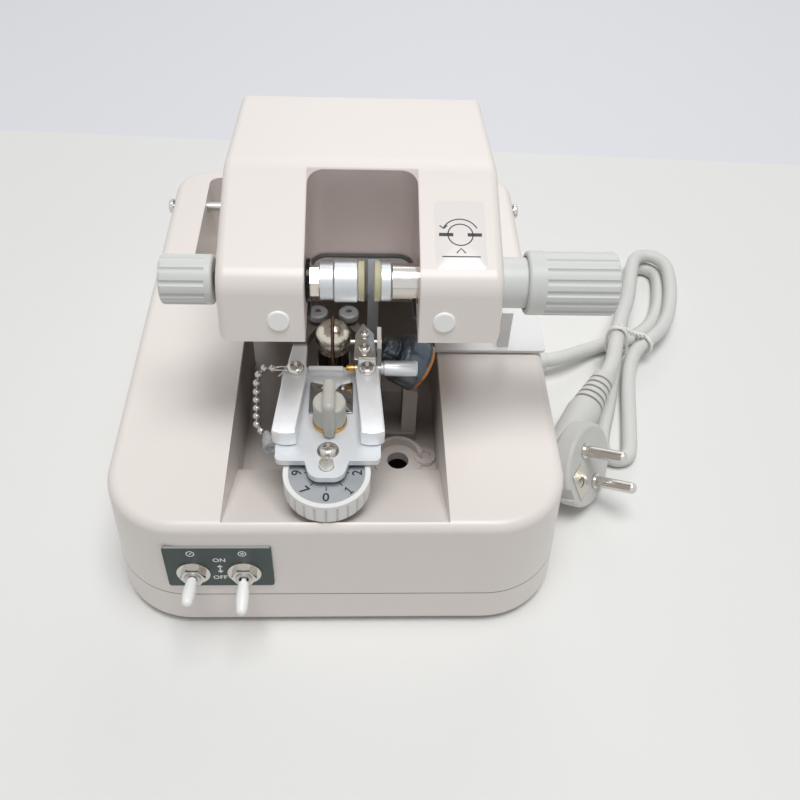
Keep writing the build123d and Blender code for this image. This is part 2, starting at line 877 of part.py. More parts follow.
def depth_dial():
    y = back(dial_setback)
    top = dial_bottom + dial_thickness
    dial = rod_z(2 * dial_radius, dial_x, y, dial_bottom, top)
    dial = fillet(dial.edges().filter_by(GeomType.CIRCLE).sort_by(Axis.Z)[0], 1.0)
    grooves = []
    for i in range(dial_ribs):
        angle = 2 * pi * i / dial_ribs
        gx = dial_x + (dial_radius + 0.25) * cos(angle)
        gy = y + (dial_radius + 0.25) * sin(angle)
        grooves.append(rod_z(dial_groove, gx, gy, dial_bottom - 1, top - 1.4))
    dial = dial - grooves
    dial -= rod_z(2 * dial_radius - 3.6, dial_x, y, top - 0.5, top + 1)
    return dial - rod_z(dial_stem + 0.04, dial_x, y, dial_bottom - 1, top + 1)


def dial_stem_screw():
    y = back(dial_setback)
    stem = rod_z(dial_stem, dial_x, y, dial_bottom - 1.2, plate_top() + 2.2)
    stem -= box(dial_x - 0.5, dial_x + 0.5, y - 4, y + 4, plate_top() + 1.2, plate_top() + 4)
    return stem + rod_z(3.4, dial_x, y, dial_post_top() - 2.0, dial_bottom - 1.0)


def dial_post_top():
    return dial_bottom - 1.5


def dial_post():
    # Post on the ledge with the bore that the dial's stem turns in
    y = back(dial_setback)
    slope = (ledge_end_height - ledge_start_height) / (ledge_end - ledge_start)
    foot = ledge_start_height + slope * (dial_setback - ledge_start) + 0.02
    block = prism_x(
        [
            (y - 6, foot - 6 * slope),
            (y - 6, dial_post_top()),
            (y + 6, dial_post_top()),
            (y + 6, foot + 6 * slope),
        ],
        dial_x - 6,
        dial_x + 6,
    )
    post = block & rod_z(9.6, dial_x, y, foot - 10, dial_bottom)
    return post - rod_z(3.4 + 2 * shaft_clearance, dial_x, y, dial_post_top() - 2.4, dial_bottom)


def thumb_screw():
    # Knurled side screw through the right arm: grip, flange, thin shank and its tip
    y = back(thumb_setback)
    z = thumb_height
    grip_start = right_pivot_x + 8.2
    grip = rod_x(thumb_grip, grip_start, grip_start + 11, y, z)
    grip = chamfer(grip.edges().filter_by(GeomType.CIRCLE), 0.4)
    flange = rod_x(4.2, grip_start - 0.8, grip_start, y, z)
    shank = rod_x(thumb_shank, right_pivot_x - 8.0, grip_start - 0.7, y, z)
    return grip + flange + shank


# Grooving wheel, guard, motor

def grooving_wheel():
    y = back(wheel_setback)
    half = wheel_thickness / 2
    wheel = rod_x(wheel_diameter, wheel_x - half, wheel_x + half, y, wheel_height)
    return wheel - rod_x(spindle_diameter, wheel_x - 2, wheel_x + 2, y, wheel_height)


def wheel_spindle():
    return rod_x(spindle_diameter, wheel_x - 4.6, spindle_end, back(wheel_setback), wheel_height)


def wheel_guard():
    # Domed guard in two halves with the wheel's slit between them
    y = back(wheel_setback)
    dome = Pos(wheel_x, y, guard_height) * Sphere(guard_radius)
    dome += rod_z(2 * guard_radius - 1.6, wheel_x, y, bracket_top, guard_height - 2)
    slit_floor = wheel_height - wheel_diameter / 2 - 0.8
    half_slit = wheel_thickness / 2 + 0.4
    dome -= box(wheel_x - half_slit, wheel_x + half_slit, y - 12, y + 12, slit_floor, guard_height + 20)
    bore = spindle_diameter + 2 * shaft_clearance
    return dome - rod_x(bore, wheel_x - 4.8, wheel_x + 20, y, wheel_height)


def machine_bracket():
    # Casting in the well: foot, column under the guard, carriage pins, bearing plate, motor saddle, stop post
    y = back(wheel_setback)
    floor = well_floor + 0.02
    step = floor + 6
    foot = box(wheel_x - 13.4, wheel_x + 34.6, back(69.4), back(94), floor, step)
    foot += box(wheel_x - 13.4, wheel_x + 14.6, back(55), back(70), floor, step)
    foot = fillet(foot.edges().filter_by(Axis.Z), 2.5)
    column = box(wheel_x - 6.5, wheel_x + 6.5, y - 5.4, y + 8, step - 1, bracket_top)
    bracket = foot + fillet(column.edges().filter_by(Axis.Z), 3)
    for x, setback in carriage_holes():
        bracket += rod_z(carriage_pin + 3, x, back(setback), step - 1, plate_height - 2.5)
        bracket += rod_z(carriage_pin, x, back(setback), plate_height - 3, plate_top() + 0.2)
    plate_end = bearing_plate_x + bearing_plate_thickness
    bracket += box(bearing_plate_x, plate_end, y - 6.2, y + 6.2, step - 1, wheel_height + 2.4)
    bracket += box(motor_x + 8.9, motor_x + 14.9, y - 6, y + 5, step - 1, bracket_top - 4)
    bracket += box(stop_x() - 4, stop_x() + 4, back(86.0), back(91.0), step - 1, stop_foot_height - 0.02)
    bracket -= rod_x(spindle_diameter + 2 * shaft_clearance, 10, plate_end + 1, y, wheel_height)
    for start, diameter in ((-0.05, neck_diameter), (neck_length - 0.1, neck_collar), (5.7, motor_diameter)):
        bracket -= on_motor(start, 40, diameter + 0.1)
    return bracket


def motor_frame():
    # Motor axis: leans down to the right from the end of the spindle
    direction = Vector(0.848, -0.1, -0.53).normalized()
    return Vector(motor_x, back(wheel_setback) - 1.5, wheel_height - 1.0), direction


def on_motor(start, length, diameter):
    origin, direction = motor_frame()
    return extrude(Plane(origin=origin + direction * start, z_dir=direction) * Circle(diameter / 2), length)


def motor_neck():
    return on_motor(0, neck_length + 0.8, neck_diameter) + on_motor(neck_length, 1.2, neck_collar)


def wheel_motor():
    start = neck_length + 1.22
    can = on_motor(start, motor_length, motor_diameter)
    can = fillet(can.edges().filter_by(GeomType.CIRCLE).sort_by(Axis.X)[0], 2.5)
    return can + on_motor(start + motor_length - 0.02, 1.2, motor_diameter - 0.6)


def stop_x():
    return wheel_x + 15.6


def stop_strip():
    # Thin steel strip that stands behind the clamp as the lens stop
    z = stop_foot_height
    x_from = stop_x() - 2.2
    x_to = stop_x() + 2.2
    strip = box(x_from, x_to, back(91.2), back(92.4), z, stop_top)
    return strip + box(x_from, x_to, back(86.4), back(92.4), z, z + 1.2)


# Fittings of the casing

def toggle_places():
    return (toggle_centre - toggle_spacing / 2, toggle_centre + toggle_spacing / 2)


def front_wall_y(z):
    return front - (base_height - z) * draft


def panel_plane(x, z, proud):
    # Plane on the leaning front wall, facing out
    outward = Vector(0, -1, draft).normalized()
    origin = Vector(x, front_wall_y(z), z) + outward * proud
    return Plane(origin=origin, x_dir=(1, 0, 0), z_dir=outward)


def panel_rod(diameter, x, proud_from, proud_to):
    return extrude(panel_plane(x, toggle_height, proud_from) * Circle(diameter / 2), proud_to - proud_from)


def switch_plate():
    seat = panel_plane(panel_centre, panel_mid_height, 0.05)
    plate = extrude(seat * RectangleRounded(panel_width, panel_height, 1.2), 0.8)
    for x in toggle_places():
        plate -= panel_rod(bushing_diameter + 0.4, x, -3, 3)
    return plate


def lever_pivot(x):
    return panel_plane(x, toggle_height, lever_pivot_proud).origin


def pivot_rod(diameter, x, reach):
    # Cross pin of a lever, or the hole for it
    place = lever_pivot(x)
    return rod_x(diameter, x - reach, x + reach, place.Y, place.Z)


def toggle_bodies():
    bodies = []
    for x in toggle_places():
        case = extrude(panel_plane(x, toggle_height, -wall - 10.4) * Rectangle(8, 13), 10)
        bushing = panel_rod(bushing_diameter, x, -wall - 0.5, bushing_proud)
        bushing -= panel_rod(lever_bore, x, -wall - 0.4, bushing_proud + 1)
        bushing -= pivot_rod(lever_pin + 2 * shaft_clearance, x, bushing_diameter)
        bodies.append(case + bushing)
    return Compound(bodies)


def toggle_nuts():
    nuts = []
    for x in toggle_places():
        washer = panel_rod(12.2, x, 0.88, 1.5) - panel_rod(bushing_diameter + 0.1, x, 0, 3)
        plane = panel_plane(x, toggle_height, 1.5)
        nut = extrude(plane * RegularPolygon(4.6, 6), 2.2) - panel_rod(bushing_diameter + 0.1, x, 0, 5)
        nuts.append(washer)
        nuts.append(nut)
    return Compound(nuts)


def toggle_lever(x, tilt):
    # Sleeved lever: ball on its cross pin in the bushing, slim neck, bulging white sleeve
    start = lever_pivot(x)
    lean = panel_plane(x, toggle_height, 0).z_dir.rotate(Axis.X, tilt)
    lever = Pos(*start) * Sphere(lever_bore / 2 - 0.3)
    lever += rod(1.9, start, start + lean * 3.2)
    lever += pivot_rod(lever_pin, x, bushing_diameter / 2 - 0.3)
    sleeve = Plane(origin=start + lean * 3.0, z_dir=lean)
    length = lever_reach - 3.0
    rings = ((0, 1.7), (length / 2, 2.3), (length, 1.9))
    grip = loft([sleeve.offset(offset) * Circle(radius) for offset, radius in rings])
    return lever + grip + Pos(*(start + lean * lever_reach)) * Sphere(1.9)


def side_guard():
    # Thin cover sheet on the right rim with an upright tab and a gusset
    z = base_height + 1.2
    x_to = base_width / 2 + 1.0
    sheet = box(channel_right - 1.0, x_to, back(87), back(116), z, z + 1.2)
    sheet = fillet(sheet.edges().filter_by(Axis.Z).sort_by(Axis.X)[-2:], 2.0)
    tab = box(65.0, 69.4, back(89.0), back(90.6), z + 1.0, z + 20)
    gusset = prism_x([(back(90.4), z + 1.0), (back(102), z + 1.0), (back(90.4), z + 16)], 66.4, 68.0)
    spacers = []
    for x in (50.0, 76.0):
        spacers.append(rod_z(6, x, back(101), base_height + 0.02, z + 0.2))
    return sheet + tab + gusset + spacers


def power_supply():
    # Board on its four pillars, with the transformer
    z = pan_underside + wall
    board = box(-74, -44, 0, 60, z + 4, z + 5.6)
    for x, y in ((-70, 4), (-48, 4), (-70, 56), (-48, 56)):
        board += rod_z(5, x, y, z + 0.02, z + 4.1)
    core = box(-66, -50, 20, 48, z + 5.5, z + 13)
    coil = box(-69, -47, 26, 42, z + 6.5, z + 12)
    return board + core + coil


# Bead chain and drain stopper, carried by the left arm's screw

def chain_places():
    return [(x, back(setback), z) for x, setback, z in chain_route]


def bead_chain():
    # Hollow beads on a wire: the beads sit one pitch apart along the hanging curve
    path = Spline(*chain_places())
    count = int(path.length / bead_pitch)
    places = [path.position_at(i / count) for i in range(count + 1)]
    clasp_start = (left_pivot_x - 4.6, back(58.4), 74.6)
    chain = rod(1.0, clasp_start, chain_places()[0])
    for i, place in enumerate(places):
        chain += Pos(*place) * Sphere(bead_diameter / 2)
        if i:
            chain += rod(0.7, tuple(places[i - 1]), tuple(place))
    return chain


def drain_stopper():
    # Soft tapered plug with a loop lug, hanging at the end of the chain
    x, y, z = chain_places()[-1]
    start = Vector(x + 0.9, y - 1.2, z)
    lean = Vector(0.25, -1.0, 0.1).normalized()
    base = Plane(origin=start, z_dir=lean)
    return loft([base * Circle(1.6), base.offset(3.0) * Circle(2.3), base.offset(7.5) * Circle(2.9)])


# Mains lead: it leaves the right wall, loops up, down and up again under a tie, and ends in the plug

cord_route = [
    (92.0, 22.5, 11.0),
    (101.0, 22.5, 11.0),
    (110.0, 26.5, 10.0),
    (118.5, 32.5, 7.4),
    (127.0, 38.5, 4.9),
    (136.5, 43.0, 3.8),
    (147.0, 46.5, 3.75),
    (156.5, 52.5, 3.8),
    (163.5, 61.5, 3.75),
    (168.2, 72.0, 3.8),
    (171.5, 84.5, 3.75),
    (173.9, 97.5, 3.8),
    (170.6, 104.0, 3.75),
    (163.7, 105.8, 3.8),
    (158.0, 102.0, 3.75),
    (155.2, 91.5, 3.8),
    (152.0, 81.0, 4.2),
    (148.6, 70.5, 6.0),
    (145.2, 59.5, 9.0),
    (141.6, 48.5, 12.1),
    (138.0, 37.5, 12.1),
    (134.7, 26.5, 9.6),
    (131.9, 15.0, 6.4),
    (129.0, 4.0, 4.2),
    (125.4, -7.5, 3.8),
    (121.4, -18.7, 3.75),
    (119.3, -29.0, 3.8),
    (122.4, -33.4, 3.75),
    (127.7, -34.4, 3.8),
    (132.1, -31.3, 3.75),
    (134.0, -21.0, 3.8),
    (136.2, -9.5, 3.75),
    (138.2, 2.5, 3.8),
    (140.2, 14.0, 4.8),
    (142.4, 24.0, 7.4),
    (147.0, 32.5, 10.6),
    (155.5, 38.5, 11.4),
    (163.0, 47.0, 10.6),
    (168.8, 57.5, 9.9),
    (172.8, 69.0, 9.8),
    (175.8, 81.0, 9.9),
    (177.6, 96.5, 11.0),
    (173.2, 104.8, 11.5),
    (165.6, 106.8, 11.6),
    (159.4, 102.4, 11.7),
    (156.0, 91.5, 11.7),
    (152.6, 80.0, 12.1),
    (149.0, 68.0, 14.6),
    (144.6, 56.5, 18.1),
    (139.8, 45.5, 20.7),
    (135.6, 34.0, 21.0),
    (131.8, 22.0, 21.4),
    (127.8, 9.1, 21.6),
    (122.9, 1.6, 20.7),
]
lead_corners = 4
tail_corners = 51


def middle_of(a, b):
    return tuple((p + q) / 2 for p, q in zip(a, b))


def cord_runs():
    # The route is cut in the middle of two straight runs: lead, hank, tail
    cut_a = middle_of(cord_route[lead_corners - 1], cord_route[lead_corners])
    cut_b = middle_of(cord_route[tail_corners], cord_route[tail_corners + 1])
    lead = cord_route[:lead_corners] + [cut_a]
    hank = [cut_a] + cord_route[lead_corners:tail_corners + 1] + [cut_b]
    tail = [cut_b] + cord_route[tail_corners + 1:]
    return lead, hank, tail


def corner_radii(points):
    # Each arc is as large as its two runs allow; a run cut in its middle counts at its full length
    full = {}
    for a, b in zip(cord_route, cord_route[1:]):
        full[a] = (Vector(*b) - Vector(*a)).length
    radii = []
    for corner in points[1:-1]:
        place = cord_route.index(corner)
        before = Vector(*corner) - Vector(*cord_route[place - 1])
        after = Vector(*cord_route[place + 1]) - Vector(*corner)
        turn = before.get_angle(after)
        radii.append(0.45 * min(before.length, after.length) / tan(radians(turn / 2)))
    return radii


def cord_tube(points, name):
    radii = corner_radii(points)
    path = FilletPolyline(*points, radius=radii)
    first = Vector(*points[1]) - Vector(*points[0])
    section = Plane(origin=points[0], z_dir=first) * Circle(cord_diameter / 2)
    tube = sweep(section, path=path)
    expected = pi * cord_diameter ** 2 / 4 * path.length
    print(name, "radii", [round(r, 1) for r in radii])
    print(name, "length", round(path.length, 1), "volume ratio", round(tube.volume / expected, 4))
    return tube, path


def least_gap(path, step=2.0):
    # Nearest approach of the tube to itself, between places more than three diameters apart along it
    count = int(path.length / step)
    places = [path.position_at(i / count) for i in range(count + 1)]
    skip = int(3 * cord_diameter / step)
    nearest = min(
        (places[i] - places[j]).length
        for i in range(len(places))
        for j in range(i + skip, len(places))
    )
    return nearest - cord_diameter


def gland_bore():
    return cord_diameter + 3.2


def cord_gland():
    # Moulded strain relief in the right wall
    x_from = base_width / 2 - 4
    x_to = cord_route[0][0]
    y = cord_route[0][1]
    gland = rod_x(gland_bore() - 0.2, x_from, x_to, y, cord_exit_height)
    wall_out = base_width / 2 + (base_height - cord_exit_height) * draft
    gland += rod_x(gland_bore() + 3.0, wall_out + 0.5, wall_out + 2.5, y, cord_exit_height)
    gland += rod_x(gland_bore() + 1.0, x_from - 2, x_from, y, cord_exit_height)
    return gland


def tie_ring(centre, heading, stack, half_width, half_height):
    # Flat ring round one or two strands that run along the heading
    heading = Vector(*heading).normalized()
    across = Vector(*stack).cross(heading).normalized()
    plane = Plane(origin=centre, x_dir=across, z_dir=heading)
    outer = RectangleRounded(2 * half_width + 2, 2 * half_height + 2, half_width + 0.9)
    inner = RectangleRounded(2 * half_width, 2 * half_height, half_width - 0.05)
    return extrude(plane * (outer - inner), 0.6, both=True)


def twist_tie():
    # One ring round the two upper strands, one round the bend beside them, and the twisted link
    upper = tie_ring((135.35, 31.0, 15.85), (-0.3, -0.94, -0.09), (-1.4, 0, 10.5), 4.3, 9.9)
    beside = tie_ring((151.25, 35.5, 11.0), (8.5, 6.0, 0.8), (0, 0, 1), 4.35, 4.4)
    link = rod(1.1, (134.9, 31.2, 26.2), (150.8, 35.6, 16.0))
    return upper + beside + link


plug_face = Vector(106.4, -52.6, 22.0)
plug_normal = Vector(0.748, -0.535, 0.392).normalized()


def plug_up():
    # The lead leaves square to the pins
    along = Vector(0.54, 0.835, 0.10).normalized()
    across = plug_normal.cross(along).normalized()
    return across.cross(plug_normal).normalized()


def plug_plane(offset=0.0):
    # Local X points towards the lead, local Z out of the face
    return Plane(origin=plug_face + plug_normal * offset, x_dir=plug_up(), z_dir=plug_normal)


def plug_body():
    disc = extrude(plug_plane(-plug_depth) * Circle(plug_radius), plug_depth)
    disc = fillet(disc.edges().filter_by(GeomType.CIRCLE), 1.6)
    for side in (-1, 1):
        notch = plug_plane(-plug_depth - 1) * Pos(side * (plug_radius + 0.6), 0) * Rectangle(4.0, 7.0)
        disc -= extrude(notch, plug_depth + 2)
    end = Vector(*cord_route[-1])
    along = (Vector(*cord_route[-2]) - end).normalized()
    shoulder = end - along * relief_length
    root = plug_face - plug_normal * neck_depth - plug_up() * 1.0
    heading = (shoulder - root).normalized()
    housing = loft([
        Plane(origin=root, z_dir=heading) * Circle(7.0),
        Plane(origin=shoulder, z_dir=along) * Circle(7.8),
    ])
    crown = loft([
        plug_plane(-plug_depth - 7.0) * Pos(4.0, 0) * RectangleRounded(18, 15, 5),
        plug_plane(-plug_depth + 1.0) * Pos(0, 0) * Circle(15.0),
    ])
    relief = loft([
        Plane(origin=shoulder, z_dir=along) * Circle(7.6),
        Plane(origin=end, z_dir=along) * Circle(5.2),
    ])
    body = disc + crown + housing + relief
    for i in range(5):
        place = Plane(origin=shoulder + along * (4.0 + i * 3.6), z_dir=along)
        body -= extrude(place * (Rectangle(20, 20) - Circle(5.4 - i * 0.25)), 1.3)
    plate = plug_plane(-0.3) * Pos(-9.6, 0)
    body += extrude(plate * RectangleRounded(8.4, 15.0, 0.8), 0.9)
    return body - extrude(plug_plane(-6) * Pos(-9.6, 0) * Circle(2.4), 8)


def plug_pins():
    pins = []
    for side in (-1, 1):
        base = plug_plane(0.02) * Pos(0, side * pin_spacing / 2)
        pin = extrude(base * Circle(pin_diameter / 2), pin_length)
        tip = pin.edges().filter_by(GeomType.CIRCLE).sort_by(Axis.X)[-1]
        pin = fillet(tip, 1.8)
        collar = extrude(base * Circle(3.3), 0.8)
        pins.append(pin + collar)
    return Compound(pins)


os.makedirs("parts", exist_ok=True)


def save(name, shape):
    shape.label = name
    export_step(shape, f"parts/{name}.step")


lead_points, hank_points, tail_points = cord_runs()
cord_lead, lead_path = cord_tube(lead_points, "lead")
cord_hank, hank_path = cord_tube(hank_points, "hank")
cord_tail, tail_path = cord_tube(tail_points, "tail")
whole_length = lead_path.length + hank_path.length + tail_path.length
print("whole cord length", round(whole_length, 1))
print("hank least gap", round(least_gap(hank_path), 2))

nodes = {
    "base_shell": base_shell(),
    "base_pan": base_pan(),
    "rubber_feet": rubber_feet(),
    "pan_screws": pan_screws(),
    "drain_tube": drain_tube(),
    "hinge_shaft": hinge_shaft(),
    "hinge_screws": hinge_screws(),
    "switch_plate": switch_plate(),
    "toggle_bodies": toggle_bodies(),
    "toggle_nuts": toggle_nuts(),
    "lens_toggle": toggle_lever(toggle_places()[0], -toggle_lean),
    "wheel_toggle": toggle_lever(toggle_places()[1], toggle_lean),
    "side_guard": side_guard(),
    "power_supply": power_supply(),
    "machine_bracket": machine_bracket(),
    "wheel_guard": wheel_guard(),
    "grooving_wheel": grooving_wheel(),
    "wheel_spindle": wheel_spindle(),
    "wheel_motor": wheel_motor(),
    "motor_neck": motor_neck(),
    "stop_strip": stop_strip(),
    "head_shell": head_shell(),
    "head_bushes": head_bushes(),
    "head_lower_cover": head_lower_cover(),
    "head_caps": head_caps(),
    "lens_motor": lens_motor(),
    "motor_pinion": motor_pinion(),
    "left_spindle": left_spindle(),
    "left_chuck": left_chuck(),
    "left_lens_pad": lens_pad(left_pad_face, -1),
    "left_knob": left_knob(),
    "spindle_gear": spindle_gear(),
    "right_collar": right_collar(),
    "clamp_carriage": clamp_carriage(),
    "right_chuck": right_chuck(),
    "right_lens_pad": lens_pad(right_pad_face(), 1),
    "clamp_knob": clamp_knob(),
    "guide_plate": guide_plate(),
    "carriage_screws": carriage_screws(),
    "cross_bar": cross_bar(),
    "web_spring": web_spring(),
    "left_guide_arm": left_guide_arm(),
    "right_guide_arm": right_guide_arm(),
    "left_guide_disc": guide_disc(left_disc_x),
    "right_guide_disc": guide_disc(right_disc_x),
    "arm_clip": arm_clip(),
    "thumb_screw": thumb_screw(),
    "cam_knob": cam_knob(),
    "depth_dial": depth_dial(),
    "dial_stem": dial_stem_screw(),
    "dial_post": dial_post(),
    "bead_chain": bead_chain(),
    "drain_stopper": drain_stopper(),
    "cord_gland": cord_gland(),
    "power_cord_lead": cord_lead,
    "power_cord_hank": cord_hank,
    "power_cord_tail": cord_tail,
    "twist_tie": twist_tie(),
    "plug_body": plug_body(),
    "plug_pins": plug_pins(),
}
for name, shape in nodes.items():
    save(name, shape)
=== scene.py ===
import json
import math

import bmesh
import bpy
import numpy as np
from mathutils import Matrix, Vector


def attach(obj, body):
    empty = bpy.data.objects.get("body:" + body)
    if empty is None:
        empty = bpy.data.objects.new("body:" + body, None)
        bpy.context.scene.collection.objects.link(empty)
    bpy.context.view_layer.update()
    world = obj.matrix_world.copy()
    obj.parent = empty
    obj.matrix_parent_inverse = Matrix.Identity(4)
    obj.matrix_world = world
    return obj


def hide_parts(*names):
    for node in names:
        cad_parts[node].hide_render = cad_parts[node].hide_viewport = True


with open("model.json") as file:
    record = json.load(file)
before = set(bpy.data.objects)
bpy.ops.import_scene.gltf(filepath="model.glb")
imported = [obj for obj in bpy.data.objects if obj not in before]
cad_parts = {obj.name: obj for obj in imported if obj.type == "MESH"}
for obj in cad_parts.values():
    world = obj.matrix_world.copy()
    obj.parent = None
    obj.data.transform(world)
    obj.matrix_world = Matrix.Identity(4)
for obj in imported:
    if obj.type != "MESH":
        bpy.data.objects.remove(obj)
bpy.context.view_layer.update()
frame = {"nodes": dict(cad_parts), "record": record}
nodes = frame["nodes"]
print("frame loaded:", len(nodes), "nodes")

mm = 0.001


# Camera

cameraView = {
    "place": (0.008, -0.292, 0.320),
    "right": (0.99900, -0.02652, 0.03593),
    "up": (-0.00506, 0.73222, 0.68105),
    "back": (-0.04437, -0.68055, 0.73135),
    "lens": 40.5,
    "sensor": 36.0,
}


def placeCamera(view):
    camera = bpy.data.objects.new("camera", bpy.data.cameras.new("camera"))
    bpy.context.scene.collection.objects.link(camera)
    turn = Matrix((view["right"], view["up"], view["back"])).transposed().to_4x4()
    camera.matrix_world = Matrix.Translation(view["place"]) @ turn
    camera.data.lens = view["lens"]
    camera.data.sensor_width = view["sensor"]
    camera.data.clip_start = 0.01
    camera.data.clip_end = 20
    bpy.context.scene.camera = camera


placeCamera(cameraView)


# Shader sums: a socket that takes part in Python expressions, and the finish that holds its nodes

class Signal:
    def __init__(self, finish, output):
        self.finish = finish
        self.output = output

    def __add__(self, other):
        return self.finish.math("ADD", self, other)

    def __radd__(self, other):
        return self.finish.math("ADD", other, self)

    def __sub__(self, other):
        return self.finish.math("SUBTRACT", self, other)

    def __rsub__(self, other):
        return self.finish.math("SUBTRACT", other, self)

    def __mul__(self, other):
        return self.finish.math("MULTIPLY", self, other)

    def __rmul__(self, other):
        return self.finish.math("MULTIPLY", other, self)

    def __gt__(self, other):
        return self.finish.math("GREATER_THAN", self, other)

    def __lt__(self, other):
        return self.finish.math("LESS_THAN", self, other)

    def __abs__(self):
        return self.finish.math("ABSOLUTE", self, 0.0)


def paint(red, green, blue):                    # a screen colour, 0 to 255, as the linear one a shader takes
    share = np.array((red, green, blue)) / 255
    straight = np.where(share <= 0.04045, share / 12.92, ((share + 0.055) / 1.055) ** 2.4)
    return (*straight.tolist(), 1.0)


class Finish:
    def __init__(self, name, colour, roughness, metallic=0.0, ior=1.46):
        self.material = bpy.data.materials.new(name)
        self.material.use_nodes = True
        self.tree = self.material.node_tree
        self.shader = self.tree.nodes["Principled BSDF"]
        self.shader.inputs["Base Color"].default_value = colour
        self.shader.inputs["Roughness"].default_value = roughness
        self.shader.inputs["Metallic"].default_value = metallic
        self.shader.inputs["IOR"].default_value = ior
        self.place = self.node("ShaderNodeTexCoord", {}, {}, "Object")

    def node(self, kind, settings, sockets, output=0):
        made = self.tree.nodes.new(kind)
        for key, value in settings.items():
            setattr(made, key, value)
        for key, value in sockets.items():
            if isinstance(value, Signal):
                self.tree.links.new(value.output, made.inputs[key])
            else:
                made.inputs[key].default_value = value
        return Signal(self, made.outputs[output])

    def math(self, operation, first, second):
        return self.node("ShaderNodeMath", {"operation": operation}, {0: first, 1: second})

    def feed(self, name, value):
        self.tree.links.new(value.output, self.shader.inputs[name])

    def hold(self, **values):                   # constants on the shader's own sockets
        for name, value in values.items():
            self.shader.inputs[name.replace("_", " ")].default_value = value
        return self

    def stretched(self, scale):
        return self.node("ShaderNodeMapping", {"vector_type": "POINT"}, {"Vector": self.place, "Scale": scale})

    def along(self, axis):
        return self.node("ShaderNodeSeparateXYZ", {}, {"Vector": self.place}, axis)

    def noise(self, scale, detail=2.0, roughness=0.5, stretch=None):
        vector = self.place if stretch is None else self.stretched(stretch)
        return self.node("ShaderNodeTexNoise", {}, {"Vector": vector, "Scale": scale, "Detail": detail,
                                                   "Roughness": roughness})

    def cells(self, scale, feature="F1"):
        return self.node("ShaderNodeTexVoronoi", {"feature": feature}, {"Vector": self.place, "Scale": scale})

    def between(self, value, low, high):        # 0 below low, 1 above high, smooth in between
        return self.node("ShaderNodeMapRange", {"interpolation_type": "SMOOTHSTEP"},
                         {"Value": value, "From Min": low, "From Max": high})

    def mix(self, share, first, second, blend="MIX"):
        return self.node("ShaderNodeMix", {"data_type": "RGBA", "blend_type": blend},
                         {0: share, 6: first, 7: second}, 2)

    def distance(self, point, direction):       # how far along a direction from a point, in metres
        moved = self.node("ShaderNodeVectorMath", {"operation": "SUBTRACT"}, {0: self.place, 1: point})
        return self.node("ShaderNodeVectorMath", {"operation": "DOT_PRODUCT"}, {0: moved, 1: direction}, "Value")

    def bump(self, height, strength, depth):
        normal = self.node("ShaderNodeBump", {}, {"Height": height, "Strength": strength, "Distance": depth})
        self.feed("Normal", normal)


def darker(colour, share):
    return (colour[0] * share, colour[1] * share, colour[2] * share, 1.0)


def mouldedPlastic(name, colour, roughness=0.36, grain=2600, grainDepth=0.00002, mottle=0.03, dust=0.05):
    # Fine moulded grain, slow tonal drift, a few dust specks and rubbed patches
    finish = Finish(name, colour, roughness)
    drift = finish.noise(22, 3)
    speck = finish.between(finish.noise(1500, 1), 0.74, 0.80) * dust * 6
    rubbed = finish.between(finish.noise(9, 4, 0.6, (1, 1, 2.4)), 0.5, 0.72)
    toned = finish.mix(drift * mottle * 2, colour, darker(colour, 0.93))
    finish.skin = finish.mix(speck * 0.5, toned, darker(colour, 0.62))
    finish.feed("Base Color", finish.skin)
    finish.feed("Roughness", roughness - rubbed * 0.07 + finish.noise(140, 2) * 0.06)
    finish.bump(finish.noise(grain, 2) + finish.noise(260, 1) * 1.6, 0.22, grainDepth)
    return finish


def satinMetal(name, colour, roughness, scratches=(60, 900, 900), scratchDepth=0.000012, stain=0.25):
    # Fine lines drawn along one direction over a blotchy, slightly stained metal
    finish = Finish(name, colour, roughness, 1.0)
    lines = finish.noise(1, 3, 0.65, scratches)
    blotch = finish.between(finish.noise(120, 3), 0.42, 0.68)
    finish.feed("Base Color", finish.mix(blotch * stain, colour, darker(colour, 0.8)))
    finish.feed("Roughness", roughness + lines * 0.14 - 0.07 + blotch * 0.06)
    finish.bump(lines, 0.3, scratchDepth)
    return finish


def polishedMetal(name, colour, roughness=0.12, smear=0.12):
    # Bright metal with finger smears and hairline marks
    finish = Finish(name, colour, roughness, 1.0)
    smears = finish.smears = finish.between(finish.noise(90, 4, 0.6, (1, 2.2, 1)), 0.45, 0.7)
    hair = finish.between(finish.noise(1, 2, 0.5, (300, 3000, 900)), 0.62, 0.7)
    finish.feed("Base Color", finish.mix(smears * 0.3, colour, darker(colour, 0.86)))
    finish.feed("Roughness", roughness + smears * smear + hair * 0.08)
    finish.bump(finish.noise(500, 2) + hair * 0.5, 0.12, 0.00001)
    return finish


def castMetal(name, colour, roughness=0.58):
    # Sand-like cast skin with darker pits
    finish = Finish(name, colour, roughness, 0.75)
    pits = finish.between(finish.cells(900), 0.0, 0.35)
    cloud = finish.noise(60, 4)
    finish.feed("Base Color", finish.mix(cloud * 0.5, colour, darker(colour, 0.7)))
    finish.feed("Roughness", roughness + cloud * 0.12)
    finish.bump(pits + finish.noise(1800, 2), 0.35, 0.00004)
    return finish


def softRubber(name, colour, roughness=0.6):
    # Matt rubber with a fine skin and pale bloom
    finish = Finish(name, colour, roughness)
    bloom = finish.between(finish.noise(200, 4), 0.4, 0.75)
    finish.feed("Base Color", finish.mix(bloom * 0.35, colour, (min(1, colour[0] * 1.5), min(1, colour[1] * 1.5),
                                                                min(1, colour[2] * 1.5), 1)))
    finish.feed("Roughness", roughness + bloom * 0.12)
    finish.bump(finish.noise(2400, 2), 0.25, 0.00002)
    return finish


